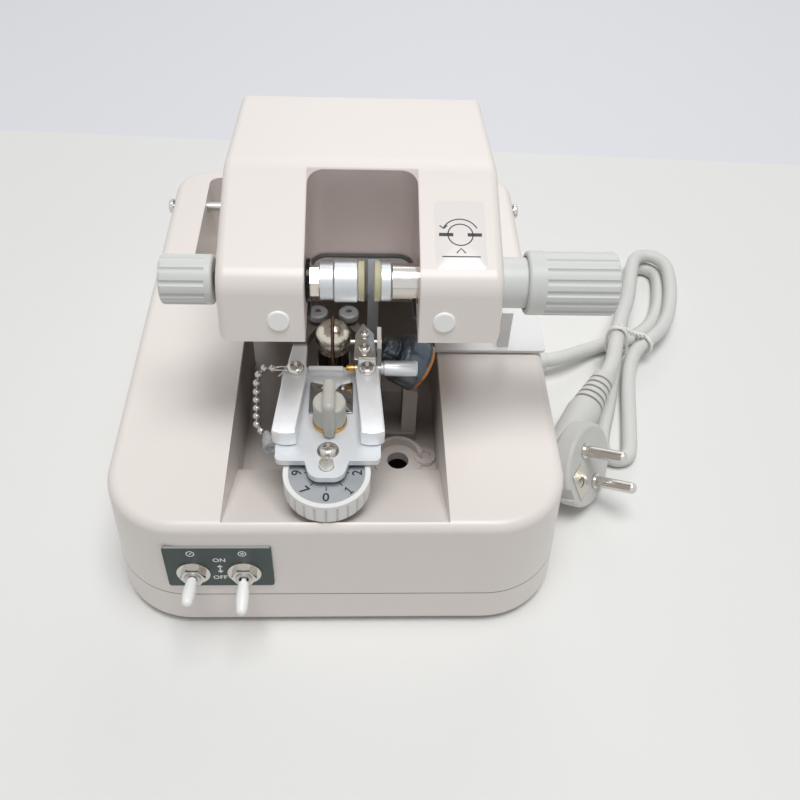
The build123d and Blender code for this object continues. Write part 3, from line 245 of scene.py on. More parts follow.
def casingPlastic(name):
    finish = mouldedPlastic(name, paint(236, 229, 224), 0.33, 2400, 0.00002, 0.05)
    return finish.hold(Coat_Weight=0.12, Coat_Roughness=0.18)


def camPlastic():
    # Milky grip plastic, a little see-through at its thin edge
    finish = Finish("cam_plastic", paint(192, 190, 182), 0.34)
    haze = finish.noise(180, 3)
    finish.feed("Base Color", finish.mix(haze * 0.5, paint(200, 198, 190), paint(172, 170, 162)))
    finish.feed("Roughness", 0.32 + finish.noise(400, 2) * 0.1)
    finish.bump(finish.noise(2200, 2), 0.2, 0.00002)
    return finish.hold(Subsurface_Weight=0.15, Subsurface_Radius=(0.003, 0.003, 0.0025))


dialPlace = {"middle": (-3.6, -93.8), "face": 69.0, "rim": 68.3, "scallop": (15.3, 14.9)}


def dialPlastic():
    # White scalloped rim, with painted shade low in the scallops
    white = paint(238, 238, 236)
    finish = mouldedPlastic("dial_plastic", white, 0.34, 2800, 0.00002, 0.04)
    x, y = dialPlace["middle"]
    reachX, reachY = finish.along(0) - x * mm, finish.along(1) - y * mm
    reach = finish.math("SQRT", reachX * reachX + reachY * reachY, 0.0)
    outer, inner = dialPlace["scallop"]
    # painted shade: the scallops are darkened low down, below the rim height
    low = finish.between(reach, outer * mm, inner * mm) * (finish.along(2) < dialPlace["rim"] * mm)
    finish.feed("Base Color", finish.mix(low * 0.6, white, paint(150, 146, 140)))
    return finish


def switchPanel():
    # Dark green-grey printed plate; a bright metallic line along its upper edge only is a painted highlight of the
    # edge catching the light from above
    panel = {"middle": (-42.6 * mm, 38.4 * mm), "half": (19.3 * mm, 11.5 * mm), "line": 0.275 * mm}
    finish = Finish("switch_panel", paint(70, 82, 80), 0.38)
    aside = abs(finish.along(0) - panel["middle"][0]) - (panel["half"][0] - panel["line"])
    above = finish.along(2) - panel["middle"][1] - (panel["half"][1] - panel["line"])
    # painted highlight: the bright metallic line is kept to the upper edge only
    edgeHighlight = finish.math("MULTIPLY", above > 0.0, aside < 0.0)
    cloud = finish.noise(300, 3)
    ground = finish.mix(cloud * 0.5, paint(66, 78, 76), paint(54, 66, 64))
    finish.feed("Base Color", finish.mix(edgeHighlight, ground, paint(176, 180, 180)))
    finish.feed("Metallic", edgeHighlight * 0.9)
    finish.feed("Roughness", 0.36 + cloud * 0.08)
    finish.bump(finish.noise(1800, 2), 0.15, 0.00002)
    return finish


motorAxis = {"start": (16.6, -36.5, 76.0), "ahead": (0.8437, -0.0995, -0.5273), "ring": 17.3}


def armMetal():
    # Matt anodised aluminium; the rear fingers, behind the guard's front, carry a painted shade in dark brown-grey
    finish = satinMetal("arm_metal", paint(238, 240, 242), 0.42)
    # painted shade: the arm behind the guard's front is darkened
    shadeMask = finish.between(finish.along(1), -41.5 * mm, -39.0 * mm)
    cloud = finish.noise(160, 3)
    unshadedMetal = finish.mix(cloud * 0.3, paint(240, 242, 244), paint(218, 221, 224))
    finish.feed("Base Color", finish.mix(shadeMask, unshadedMetal, paint(112, 106, 100)))
    return finish.hold(Metallic=0.55)


def plateMetal():
    # The guide plate's cloudy anodised skin
    finish = satinMetal("plate_metal", paint(224, 228, 231), 0.42)
    cloud = finish.noise(120, 4)
    finish.feed("Base Color", finish.mix(cloud * 0.5, paint(230, 233, 236), paint(198, 203, 208)))
    return finish.hold(Metallic=0.5)


well = {"aside": (44, 43), "top": (59, 56), "floor": 21, "depth": (-56, -28), "rear": 100}


def wellShade(finish):
    # Mask for painted shade: 0 in front to 1 under the head, only on the inner walls of the well
    def ramp(value, ends):
        return finish.between(value, ends[0] * mm, ends[1] * mm)

    height = ramp(finish.along(2), well["top"]) * (finish.along(2) > well["floor"] * mm)
    depth = ramp(finish.along(1), well["depth"]) * (finish.along(1) < well["rear"] * mm)
    return ramp(abs(finish.along(0)), well["aside"]) * height * depth


seam = {"height": 20.0, "edge": (0.34, 0.2)}


def baseCasing():
    # Casing plastic with the dark parting line between the upper and lower casing, and painted shade on the well's
    # inner walls under the head
    finish = casingPlastic("base_plastic")
    outer, inner = seam["edge"]
    line = finish.between(abs(finish.along(2) - seam["height"] * mm), outer * mm, inner * mm)
    # painted shade on the well's inner walls, deepening under the head
    wellShadedSkin = finish.mix(wellShade(finish) * 0.75, finish.skin, paint(92, 82, 76))
    finish.feed("Base Color", finish.mix(line * 0.8, wellShadedSkin, paint(96, 86, 78)))
    return finish


headSlot = {"middle": 8.5, "half": (19.6, 18.9), "rear": (-21.5, -22.8)}


def headCasing():
    # The head's casing plastic, with painted shade on the walls inside the slot
    finish = casingPlastic("head_plastic")
    aside = abs(finish.along(0) - headSlot["middle"] * mm)
    slot = finish.between(aside, headSlot["half"][0] * mm, headSlot["half"][1] * mm)
    slot = slot * finish.between(finish.along(1), headSlot["rear"][0] * mm, headSlot["rear"][1] * mm)
    # painted shade: a darker pinkish-brown tone inside the slot
    slotShadeTone = finish.mix(finish.noise(90, 3) * 0.5, paint(206, 188, 184), paint(180, 164, 160))
    finish.feed("Base Color", finish.mix(slot * 0.75, finish.skin, slotShadeTone))
    return finish


def paintedCasting():
    # Painted casting in the casing's own colour, with painted shade darker under the head
    finish = mouldedPlastic("painted_casting", paint(214, 208, 203), 0.5, 900, 0.00005, 0.1)
    cloud = finish.noise(60, 3)
    painted = finish.mix(cloud * 0.3, paint(222, 216, 211), paint(196, 190, 184))
    # painted shade under the head, by the well's mask
    finish.feed("Base Color", finish.mix(wellShade(finish) * 0.85, painted, paint(86, 77, 71)))
    return finish


def motorLacquer():
    # Dark blue-grey lacquer, faint turned rings, a bare copper-brown end
    finish = Finish("motor_lacquer", paint(70, 76, 82), 0.26, 0.55)
    reach = finish.distance(tuple(np.array(motorAxis["start"]) * mm), motorAxis["ahead"])
    ring = finish.between(reach, (motorAxis["ring"] - 0.05) * mm, (motorAxis["ring"] + 0.05) * mm)
    lines = finish.node("ShaderNodeTexNoise", {"noise_dimensions": "1D"}, {"W": reach, "Scale": 1800.0}, 0)
    cloud = finish.between(finish.noise(200, 3), 0.45, 0.7)
    body = finish.mix(cloud * 0.4, paint(88, 96, 104), paint(116, 124, 132))
    finish.feed("Base Color", finish.mix(ring, body, paint(176, 112, 58)))
    finish.feed("Metallic", 0.8 + ring * 0.2)
    finish.feed("Roughness", 0.18 + cloud * 0.12 + lines * 0.05)
    finish.bump(lines, 0.12, 0.00002)
    return finish


def guardMetal():
    # Bright dome on a dark collar
    finish = polishedMetal("guard_metal", paint(214, 206, 192), 0.14)
    low = finish.between(finish.along(2), 74.9 * mm, 74.2 * mm)
    bright = finish.mix(finish.smears * 0.3, paint(214, 206, 192), paint(186, 176, 160))
    finish.feed("Base Color", finish.mix(low, bright, paint(58, 52, 46)))
    return finish


def spindleMetal():
    # Painted shade: the washer against the head is near black; bright nut and shaft beyond it
    finish = polishedMetal("spindle_metal", paint(226, 218, 208), 0.12)
    # painted shade on the washer side of the spindle
    shadeMask = finish.between(finish.along(0), -8.8 * mm, -9.0 * mm)
    bright = finish.mix(finish.smears * 0.3, paint(226, 218, 208), paint(190, 180, 168))
    finish.feed("Base Color", finish.mix(shadeMask, bright, paint(38, 36, 36)))
    return finish


def dialSilver():
    # Spun aluminium face: fine rings about the dial's middle
    finish = Finish("dial_silver", paint(176, 180, 184), 0.34, 1.0)
    middle = finish.node("ShaderNodeVectorMath", {"operation": "SUBTRACT"},
                         {0: finish.place, 1: tuple(v * mm for v in (*dialPlace["middle"], dialPlace["face"]))})
    radius = finish.node("ShaderNodeVectorMath", {"operation": "LENGTH"}, {0: middle}, "Value")
    rings = finish.node("ShaderNodeTexNoise", {"noise_dimensions": "1D"}, {"W": radius, "Scale": 2600.0}, 0)
    cloud = finish.noise(150, 3)
    finish.feed("Base Color", finish.mix(cloud * 0.6, paint(186, 189, 192), paint(150, 154, 158)))
    finish.feed("Roughness", 0.3 + rings * 0.16)
    finish.bump(rings, 0.25, 0.00001)
    return finish


def abrasive():
    # Bonded grit: bright points in a brown bond
    finish = Finish("abrasive", paint(118, 84, 60), 0.6, 0.3)
    grit = finish.between(finish.cells(3000), 0.0, 0.5)
    finish.feed("Base Color", finish.mix(grit, paint(168, 150, 120), paint(96, 66, 46)))
    finish.feed("Roughness", 0.45 + grit * 0.25)
    finish.bump(grit, 0.6, 0.00004)
    return finish


def boardFinish():
    # Board laminate low down, steel core and copper winding above it
    finish = Finish("board", paint(46, 92, 58), 0.4)
    height = finish.along(2)
    core = height > 10.8 * mm
    weave = finish.node("ShaderNodeTexWave", {"wave_type": "BANDS"}, {"Vector": finish.place, "Scale": 900.0,
                                                                    "Distortion": 0.4})
    board = finish.mix(weave * 0.4, paint(42, 88, 54), paint(64, 112, 70))
    winding = finish.mix(weave, paint(150, 92, 48), paint(96, 58, 34))
    finish.feed("Base Color", finish.mix(core, board, winding))
    finish.feed("Roughness", 0.35 + weave * 0.2)
    finish.bump(weave, 0.3, 0.00006)
    return finish


def leadSkin(name, colour):
    # Extruded skin: fine lengthwise drift, small nicks, a soft plastic sheen
    finish = Finish(name, colour, 0.46)
    drift = finish.noise(60, 4)
    nicks = finish.between(finish.noise(700, 2), 0.66, 0.72)
    toned = finish.mix(drift * 0.4, colour, darker(colour, 0.9))
    finish.feed("Base Color", finish.mix(nicks * 0.2, toned, darker(colour, 0.7)))
    finish.feed("Roughness", 0.4 + drift * 0.14)
    finish.bump(finish.noise(1600, 3) + finish.noise(240, 2), 0.25, 0.00003)
    return finish


def plugPlastic():
    # Moulded plug: the raised earth plate on its face is tinned metal
    face = {"point": (106.4 * mm, -52.6 * mm, 22.0 * mm), "out": (0.7482, -0.5351, 0.3921)}
    finish = Finish("plug_plastic", paint(190, 190, 187), 0.44)
    plate = finish.distance(face["point"], face["out"]) > 0.08 * mm
    drift = finish.noise(80, 4)
    body = finish.mix(drift * 0.4, paint(216, 216, 213), paint(194, 194, 191))
    finish.feed("Base Color", finish.mix(plate, body, paint(206, 202, 190)))
    finish.feed("Metallic", plate * 1.0)
    finish.feed("Roughness", 0.42 + drift * 0.1 - plate * 0.2)
    finish.bump(finish.noise(2000, 2), 0.25, 0.00003)
    return finish


def clearSoft(name, colour, see, roughness):
    # Milky see-through plastic with a cloudy skin
    finish = Finish(name, colour, roughness, 0.0, 1.42)
    haze = finish.noise(300, 4)
    finish.feed("Base Color", finish.mix(haze * 0.6, colour, darker(colour, 0.82)))
    finish.feed("Roughness", roughness + haze * 0.15)
    finish.bump(finish.noise(900, 3), 0.3, 0.00003)
    return finish.hold(Transmission_Weight=see)


finishes = {
    "casing_white": casingPlastic("casing_plastic"),
    "knob_grey": mouldedPlastic("knob_plastic", paint(214, 216, 213), 0.42, 2600, 0.00002, 0.08),
    "dial_white": dialPlastic(),
    "pad_clear": clearSoft("pad_soft", paint(214, 208, 172), 0.12, 0.34),
    "foot_rubber": softRubber("foot_rubber", paint(66, 66, 66)),
    "satin_aluminium": satinMetal("satin_aluminium", paint(212, 215, 217), 0.36),
    "polished_steel": polishedMetal("polished_steel", paint(214, 210, 204)),
    "brushed_steel": satinMetal("brushed_steel", paint(196, 196, 194), 0.28, (900, 60, 900)),
    "brass": polishedMetal("brass", paint(206, 158, 88), 0.2),
    "motor_dark": motorLacquer(),
    "casting_grey": castMetal("casting_grey", paint(150, 150, 150)),
    "panel_grey": switchPanel(),
    "lever_white": mouldedPlastic("lever_plastic", paint(250, 250, 249), 0.3, 3000, 0.00001, 0.03),
    "guard_sheet": mouldedPlastic("guard_enamel", paint(226, 226, 226), 0.3, 1600, 0.00002, 0.05).hold(
        Coat_Weight=0.3, Coat_Roughness=0.12),
    "cord_grey": leadSkin("lead_skin", paint(220, 220, 217)),
    "tie_white": mouldedPlastic("tie_plastic", paint(236, 236, 232), 0.35, 2600, 0.00002, 0.05),
    "stopper_clear": clearSoft("stopper_soft", paint(226, 228, 230), 0.7, 0.3),
    "board_green": boardFinish(),
    "abrasive_grey": abrasive(),
}
chainSteel = polishedMetal("chain_steel", paint(186, 183, 178), 0.07, 0.08)
leafSteel = polishedMetal("leaf_steel", paint(150, 150, 150), 0.1, 0.2)
filmFinish = mouldedPlastic("label_film", paint(233, 228, 225), 0.2, 900, 0.00001, 0.04).hold(
    Coat_Weight=0.4, Coat_Roughness=0.08)
inkFinish = mouldedPlastic("ink", paint(44, 44, 46), 0.5, 3000, 0.00001, 0.1)
panelInk = mouldedPlastic("panel_ink", paint(248, 250, 249), 0.45, 3000, 0.00001, 0.02)
nodeFinishes = {
    "cam_knob": camPlastic(),
    "head_caps": mouldedPlastic("cap_plastic", paint(248, 248, 246), 0.45, 3200, 0.00002, 0.03),
    "plug_body": plugPlastic(),
    "left_guide_arm": armMetal(),
    "right_guide_arm": "left_guide_arm",
    "wheel_guard": guardMetal(),
    "left_spindle": spindleMetal(),
    "stop_strip": satinMetal("strip_steel", paint(196, 204, 212), 0.3, (900, 900, 60)),
    "guide_plate": plateMetal(),
    "base_shell": baseCasing(),
    "head_shell": headCasing(),
    "base_pan": "base_shell",
    "machine_bracket": paintedCasting(),
    "drain_tube": mouldedPlastic("dark_hollow", paint(34, 32, 30), 0.5, 1400, 0.00003, 0.2),
}
print("finishes made:", len(finishes))


# Shapes: grids of points in millimetres, welded into one closed mesh for each piece

def unit(vector):
    vector = np.array(vector, float)
    return vector / np.linalg.norm(vector)


def gridMesh(name, shells):
    # Each shell is (points, wraps across, wraps along): a grid whose neighbours are joined by faces
    points, faces, start = [], [], 0
    for grid, wrapAcross, wrapAlong in shells:
        rows, columns = grid.shape[:2]
        across = np.arange(rows if wrapAcross else rows - 1)
        along = np.arange(columns if wrapAlong else columns - 1)
        i, j = np.meshgrid(across, along, indexing="ij")
        nextI, nextJ = (i + 1) % rows, (j + 1) % columns
        corners = (i * columns + j, nextI * columns + j, nextI * columns + nextJ, i * columns + nextJ)
        faces.append(np.stack(corners, -1).reshape(-1, 4) + start)
        points.append(grid.reshape(-1, 3))
        start += rows * columns
    mesh = bpy.data.meshes.new(name)
    mesh.from_pydata((np.concatenate(points) * mm).tolist(), [], np.concatenate(faces).tolist())
    return mesh


def addPiece(name, shells, finish, body, replaced=(), sharp=35):
    return finishPiece(name, gridMesh(name, shells), finish, body, replaced, sharp)


def gatherPiece(name, meshes, finish, body, replaced=()):
    gathered = bmesh.new()
    for mesh in meshes:
        gathered.from_mesh(mesh)
    whole = bpy.data.meshes.new(name)
    gathered.to_mesh(whole)
    gathered.free()
    return finishPiece(name, whole, finish, body, replaced)


def finishPiece(name, mesh, finish, body, replaced, sharp=35):
    shape = bmesh.new()
    shape.from_mesh(mesh)
    bmesh.ops.remove_doubles(shape, verts=shape.verts, dist=2e-7)
    bmesh.ops.recalc_face_normals(shape, faces=shape.faces)
    shape.to_mesh(mesh)
    shape.free()
    mesh.materials.clear()
    mesh.materials.append(finish.material)
    mesh.shade_smooth()
    mesh.set_sharp_from_angle(angle=math.radians(sharp))
    piece = bpy.data.objects.new(name, mesh)
    bpy.context.scene.collection.objects.link(piece)
    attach(piece, body)
    if replaced:
        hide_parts(*replaced)
    return piece


def turned(profile, origin, axis, steps=72, flutes=0, depth=0.0, band=None, sharpness=1.0):
    # A profile of (distance, radius) goes round an axis; inside the band a wave of flutes is taken off the radius
    profile = np.array(profile, float)
    axis = unit(axis)
    side = unit(np.cross(axis, (0.13, 0.31, 0.94)))
    up = np.cross(axis, side)
    angle = np.linspace(0, 2 * math.pi, steps, endpoint=False)
    wave = (0.5 - 0.5 * np.cos(flutes * angle)) ** sharpness
    inside = np.ones(len(profile)) if band is None else (profile[:, 0] > band[0]) & (profile[:, 0] < band[1])
    radius = profile[:, 1, None] - depth * inside[:, None] * wave[None, :] * (profile[:, 1, None] > 0.01)
    ring = np.cos(angle)[:, None] * side + np.sin(angle)[:, None] * up
    points = np.array(origin, float) + profile[:, 0, None, None] * axis + radius[..., None] * ring[None]
    return points, False, True


def cornerArcs(before, corner, after, radius, steps):
    # Each corner becomes a short arc: a quadratic curve between its two runs, at most 0.45 of the shorter one
    intoLength = np.linalg.norm(corner - before, axis=1)[:, None]
    outLength = np.linalg.norm(after - corner, axis=1)[:, None]
    cut = np.minimum(radius, 0.45 * np.minimum(intoLength, outLength))
    start = corner - (corner - before) / intoLength * cut
    end = corner + (after - corner) / outLength * cut
    t = np.linspace(0, 1, steps)[None, :, None]
    arcs = (1 - t) ** 2 * start[:, None] + 2 * t * (1 - t) * corner[:, None] + t ** 2 * end[:, None]
    return arcs.reshape(-1, 2)


def arcProfile(corners, radius=0.4, steps=4):
    # An open (distance, radius) outline whose inner corners are arcs
    corners = np.array(corners, float)
    arcs = cornerArcs(corners[:-2], corners[1:-1], corners[2:], radius, steps)
    return np.concatenate([corners[:1], arcs, corners[-1:]])


def closedOutline(corners, radius, steps=7):
    # A closed outline whose corners are all arcs
    corners = np.array(corners, float)
    return cornerArcs(np.roll(corners, 1, 0), corners, np.roll(corners, -1, 0), radius, steps)


def insetRows(outline, low, high, rounding, steps):
    # A counter-clockwise outline from low to high, drawn in at both ends along a quarter circle
    outline = np.array(outline, float)
    ahead = np.roll(outline, -1, 0) - np.roll(outline, 1, 0)
    ahead /= np.linalg.norm(ahead, axis=1)[:, None]
    inward = np.column_stack([-ahead[:, 1], ahead[:, 0]])
    angle = np.linspace(0, math.pi / 2, steps)
    layers = [(rounding * (1 - math.sin(a)), low + rounding * (1 - math.cos(a))) for a in angle]
    layers += [(inset, low + high - height) for inset, height in reversed(layers)]
    return [np.column_stack([outline + inward * inset, np.full(len(outline), height)]) for inset, height in layers]


def plateMesh(outline, low, high, rounding=0.4, steps=4):
    # The inset rows joined by faces, with one flat face at either end
    rows = insetRows(outline, low, high, rounding, steps)
    count = len(outline)
    i, j = np.meshgrid(np.arange(len(rows) - 1), np.arange(count), indexing="ij")
    nextJ = (j + 1) % count
    sides = np.stack([i * count + j, i * count + nextJ, (i + 1) * count + nextJ, (i + 1) * count + j], -1)
    top = (len(rows) - 1) * count
    faces = [*sides.reshape(-1, 4).tolist(), list(range(count))[::-1], list(range(top, top + count))]
    mesh = bpy.data.meshes.new("plate")
    mesh.from_pydata((np.concatenate(rows) * mm).tolist(), [], faces)
    return mesh


def slab(outline, frameOf, half, rounding, steps=5):
    # The inset rows on a plane of its own, closed to the outline's middle on both sides
    rows = insetRows(outline, -half, half, rounding, steps)
    middle = np.broadcast_to(np.mean(outline, 0), (len(outline), 2))
    caps = [np.column_stack([middle, np.full(len(outline), height)]) for height in (-half, half)]
    grid = np.array([caps[0], *rows, caps[1]])
    origin, right, up, out = (np.array(v, float) for v in frameOf)
    return origin + grid[..., :1] * right + grid[..., 1:2] * up + grid[..., 2:] * out, False, True


def loopTube(path, width, thick, flatNormal, sides=12):
    # A rounded section carried round a closed path; its thick side lies along the path plane's normal
    path = np.array(path, float)
    ahead = np.roll(path, -1, 0) - np.roll(path, 1, 0)
    ahead /= np.linalg.norm(ahead, axis=1)[:, None]
    flat = np.broadcast_to(unit(flatNormal), path.shape)
    out = np.cross(ahead, flat)
    angle = np.linspace(0, 2 * math.pi, sides, endpoint=False)
    c, s = np.cos(angle)[None, :, None], np.sin(angle)[None, :, None]
    section = c * out[:, None] * thick + s * flat[:, None] * width
    return path[:, None] + section, True, True


def openTube(path, radius, sides=10):
    # A round section carried along an open path and closed to a point at both ends
    path = np.array(path, float)
    ahead = np.gradient(path, axis=0)
    ahead /= np.linalg.norm(ahead, axis=1)[:, None]
    out = np.cross(ahead, unit((0.21, 0.93, 0.31)))
    out /= np.linalg.norm(out, axis=1)[:, None]
    up = np.cross(ahead, out)
    angle = np.linspace(0, 2 * math.pi, sides, endpoint=False)[None, :, None]
    rows = path[:, None] + radius * (np.cos(angle) * out[:, None] + np.sin(angle) * up[:, None])
    first = np.broadcast_to(path[0], rows[:1].shape)
    last = np.broadcast_to(path[-1], rows[:1].shape)
    return np.concatenate([first, rows, last]), False, True


# Mains lead: the route's points in metres are the control points of one smooth spline

lead = {
    "diameter": 0.0072,
    "length": 0.568,
    "route": [
        (0.0920, 0.0225, 0.0110), (0.1010, 0.0225, 0.0110), (0.1100, 0.0265, 0.0100), (0.1185, 0.0325, 0.0074),
        (0.1270, 0.0385, 0.0049), (0.1365, 0.0430, 0.0038), (0.1470, 0.0465, 0.00375), (0.1565, 0.0525, 0.0038),
        (0.1635, 0.0615, 0.00375), (0.1682, 0.0720, 0.0038), (0.1715, 0.0845, 0.00375), (0.1739, 0.0975, 0.0038),
        (0.1706, 0.1040, 0.00375), (0.1637, 0.1058, 0.0038), (0.1580, 0.1020, 0.00375), (0.1552, 0.0915, 0.0038),
        (0.1520, 0.0810, 0.0042), (0.1486, 0.0705, 0.0060), (0.1452, 0.0595, 0.0090), (0.1416, 0.0485, 0.0121),
        (0.1380, 0.0375, 0.0121), (0.1347, 0.0265, 0.0096), (0.1319, 0.0150, 0.0064), (0.1290, 0.0040, 0.0042),
        (0.1254, -0.0075, 0.0038), (0.1214, -0.0187, 0.00375), (0.1193, -0.0290, 0.0038), (0.1224, -0.0334, 0.00375),
        (0.1277, -0.0344, 0.0038), (0.1321, -0.0313, 0.00375), (0.1340, -0.0210, 0.0038), (0.1362, -0.0095, 0.00375),
        (0.1382, 0.0025, 0.0038), (0.1402, 0.0140, 0.0048), (0.1424, 0.0240, 0.0074), (0.1470, 0.0325, 0.0106),
        (0.1555, 0.0385, 0.0114), (0.1630, 0.0470, 0.0106), (0.1688, 0.0575, 0.0099), (0.1728, 0.0690, 0.0098),
        (0.1758, 0.0810, 0.0099), (0.1776, 0.0965, 0.0110), (0.1732, 0.1048, 0.0115), (0.1656, 0.1068, 0.0116),
        (0.1594, 0.1024, 0.0117), (0.1560, 0.0915, 0.0117), (0.1526, 0.0800, 0.0121), (0.1490, 0.0680, 0.0146),
        (0.1446, 0.0565, 0.0181), (0.1398, 0.0455, 0.0207), (0.1356, 0.0340, 0.0210), (0.1318, 0.0220, 0.0214),
        (0.1278, 0.0091, 0.0216), (0.1229, 0.0016, 0.0207),
    ],
    "sleeve": [(78.4, 0.0), (78.4, 4.9), (82.2, 5.3), (86.1, 6.3), (87.4, 6.3), (88.2, 5.4), (99.2, 4.2),
               (99.6, 3.4), (96.0, 3.2)],
}


def makeLead(facts):
    curve = bpy.data.curves.new("power_cord", "CURVE")
    curve.dimensions = "3D"
    curve.bevel_depth = facts["diameter"] / 2
    curve.bevel_resolution = 5
    curve.use_fill_caps = True
    curve.resolution_u = 10
    spline = curve.splines.new("NURBS")
    spline.points.add(len(facts["route"]) - 1)
    route = np.array(facts["route"])
    spline.points.foreach_set("co", np.column_stack([route, np.ones(len(route))]).ravel())
    spline.order_u = 3
    spline.use_endpoint_u = True
    spline.use_smooth = True
    curve.materials.append(finishes["cord_grey"].material)
    piece = bpy.data.objects.new("power_cord", curve)
    bpy.context.scene.collection.objects.link(piece)
    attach(piece, "base")
    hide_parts("power_cord_lead", "power_cord_hank", "power_cord_tail")
    return piece


powerCord = makeLead(lead)
sleeve = addPiece(
    "strain_relief",
    [turned(arcProfile(lead["sleeve"], 0.5), (0, 22.5, 11.0), (1, 0, 0), 48)],
    finishes["cord_grey"], "base", ["cord_gland"])

twistTie = {
    "upper": {"middle": (135.35, 31.0, 15.85), "heading": (-0.3, -0.94, -0.09), "stack": (-1.4, 0, 10.5),
              "half": (5.0, 10.6)},
    "beside": {"middle": (151.25, 35.5, 11.0), "heading": (8.5, 6.0, 0.8), "stack": (0, 0, 1), "half": (5.0, 5.1)},
    "link": ((134.9, 31.2, 26.2), (150.8, 35.6, 16.0)),
}


def tieRing(facts, squareness=2.6, wire=0.7):
    # A squarish loop round the strands: powers of cosine and sine across and up, two wires side by side
    heading = unit(facts["heading"])
    across = unit(np.cross(facts["stack"], heading))
    up = np.cross(heading, across)
    angle = np.linspace(0, 2 * math.pi, 64, endpoint=False)
    c, s = np.cos(angle), np.sin(angle)
    x = np.sign(c) * np.abs(c) ** (2 / squareness) * facts["half"][0]
    y = np.sign(s) * np.abs(s) ** (2 / squareness) * facts["half"][1]
    path = np.array(facts["middle"]) + x[:, None] * across + y[:, None] * up
    return loopTube(path, 0.9, wire, heading)


def twistedLink(start, end, gap=0.75, turns=3.5, wire=0.62):
    # Two wires wound round the straight line between the two loops, splayed at the free end
    start, end = np.array(start), np.array(end)
    t = np.linspace(0, 1, 90)
    axis = unit(end - start)
    side = unit(np.cross(axis, (0, 0, 1)))
    up = np.cross(axis, side)
    sag = -1.2 * np.sin(math.pi * t)
    shells = []
    for phase in (0, math.pi):
        turn = 2 * math.pi * turns * t + phase
        path = start + t[:, None] * (end - start) + sag[:, None] * np.array((0, 0, 1.0))
        path = path + gap * (np.cos(turn)[:, None] * side + np.sin(turn)[:, None] * up)
        shells.append(openTube(path, wire))
    return shells


tie = addPiece(
    "cord_tie",
    [tieRing(twistTie["upper"]), tieRing(twistTie["beside"]), *twistedLink(*twistTie["link"])],
    finishes["tie_white"], "base", ["twist_tie"])

print("lead made")


# Stage: a pale table that turns into a slightly cooler wall tone behind, soft lamps

stageFacts = {
    "table": paint(235, 235, 233),
    "wall": paint(229, 230, 235),
    "seamAt": 0.2343,
    "seamSlope": -0.0487,
    "size": 3.0,
}


def makeStage(facts):
    size = facts["size"]
    mesh = bpy.data.meshes.new("table_top")
    mesh.from_pydata([(-size, -size, 0), (size, -size, 0), (size, size, 0), (-size, size, 0)], [], [(0, 1, 2, 3)])
    finish = Finish("table_paper", facts["table"], 0.55)
    seam = finish.along(1) - finish.along(0) * facts["seamSlope"] - facts["seamAt"]
    beyond = finish.between(seam, -0.0015, 0.0015)
    cloud = finish.noise(3, 3)
    table = finish.mix(cloud * 0.25, facts["table"], darker(facts["table"], 0.96))
    finish.feed("Base Color", finish.mix(beyond, table, facts["wall"]))
    finish.bump(finish.noise(700, 3), 0.1, 0.00004)
    mesh.materials.append(finish.material)
    floor = bpy.data.objects.new("table_top", mesh)
    bpy.context.scene.collection.objects.link(floor)


lamps = {
    "overhead": {"place": (0.1, -0.3, 2.0), "aim": (0.0, 0.0, 0.05), "size": 1.0, "power": 29.0},
    "rear": {"place": (0.25, 1.3, 1.0), "aim": (0.0, 0.0, 0.08), "size": 0.9, "power": 3.0},
}
worldLevel = 0.21


def makeLamps():
    for name, facts in lamps.items():
        lamp = bpy.data.lights.new(name, "AREA")
        lamp.shape = "SQUARE"
        lamp.size = facts["size"]
        lamp.energy = facts["power"]
        holder = bpy.data.objects.new(name, lamp)
        bpy.context.scene.collection.objects.link(holder)
        holder.location = facts["place"]
        aim = Vector(facts["aim"]) - Vector(facts["place"])
        holder.rotation_mode = "QUATERNION"
        holder.rotation_quaternion = aim.to_track_quat("-Z", "Y")
    world = bpy.data.worlds.new("studio")
    world.use_nodes = True
    bpy.context.scene.world = world
    tree = world.node_tree
    ground = tree.nodes["Background"]
    ground.inputs["Color"].default_value = (1, 1, 1, 1)
    ground.inputs["Strength"].default_value = worldLevel
    seen = tree.nodes.new("ShaderNodeBackground")
    seen.inputs["Color"].default_value = paint(240, 242, 245)
    light = tree.nodes.new("ShaderNodeLightPath")
    blend = tree.nodes.new("ShaderNodeMixShader")
    seenRay = light.outputs["Is Camera Ray"]
    for ray in ("Is Glossy Ray", "Is Transmission Ray"):
        either = tree.nodes.new("ShaderNodeMath")
        either.operation = "MAXIMUM"
        tree.links.new(seenRay, either.inputs[0])
        tree.links.new(light.outputs[ray], either.inputs[1])
        seenRay = either.outputs[0]
    tree.links.new(seenRay, blend.inputs[0])
    tree.links.new(ground.outputs[0], blend.inputs[1])
    tree.links.new(seen.outputs[0], blend.inputs[2])
    tree.links.new(blend.outputs[0], tree.nodes["World Output"].inputs["Surface"])
    bpy.context.scene.view_settings.view_transform = "Standard"


makeStage(stageFacts)
makeLamps()
print("stage and lamps made")


# Lens clamp: soft pads with a hollowed rim on both chucks

clampLine = (-53.0, 122.6)
padFacts = {"left": (7.3, 1, "left_clamp", "left_lens_pad"), "right": (14.6, -1, "right_clamp", "right_lens_pad")}
padProfile = [(-0.5, 0.0), (-0.5, 5.6), (0.0, 6.6), (0.35, 6.95), (1.0, 6.7), (1.7, 6.95), (2.0, 6.6), (2.0, 5.2),
              (1.3, 4.1), (1.25, 0.0)]


def makePads():
    for side, (start, ahead, body, node) in padFacts.items():
        shell = turned(arcProfile(padProfile, 0.3), (start, *clampLine), (ahead, 0, 0), 80)
        addPiece("lens_pad_" + side, [shell], finishes["pad_clear"], body, [node], 60)


makePads()


# Feet: turned rubber pads with a ring groove and a screw well

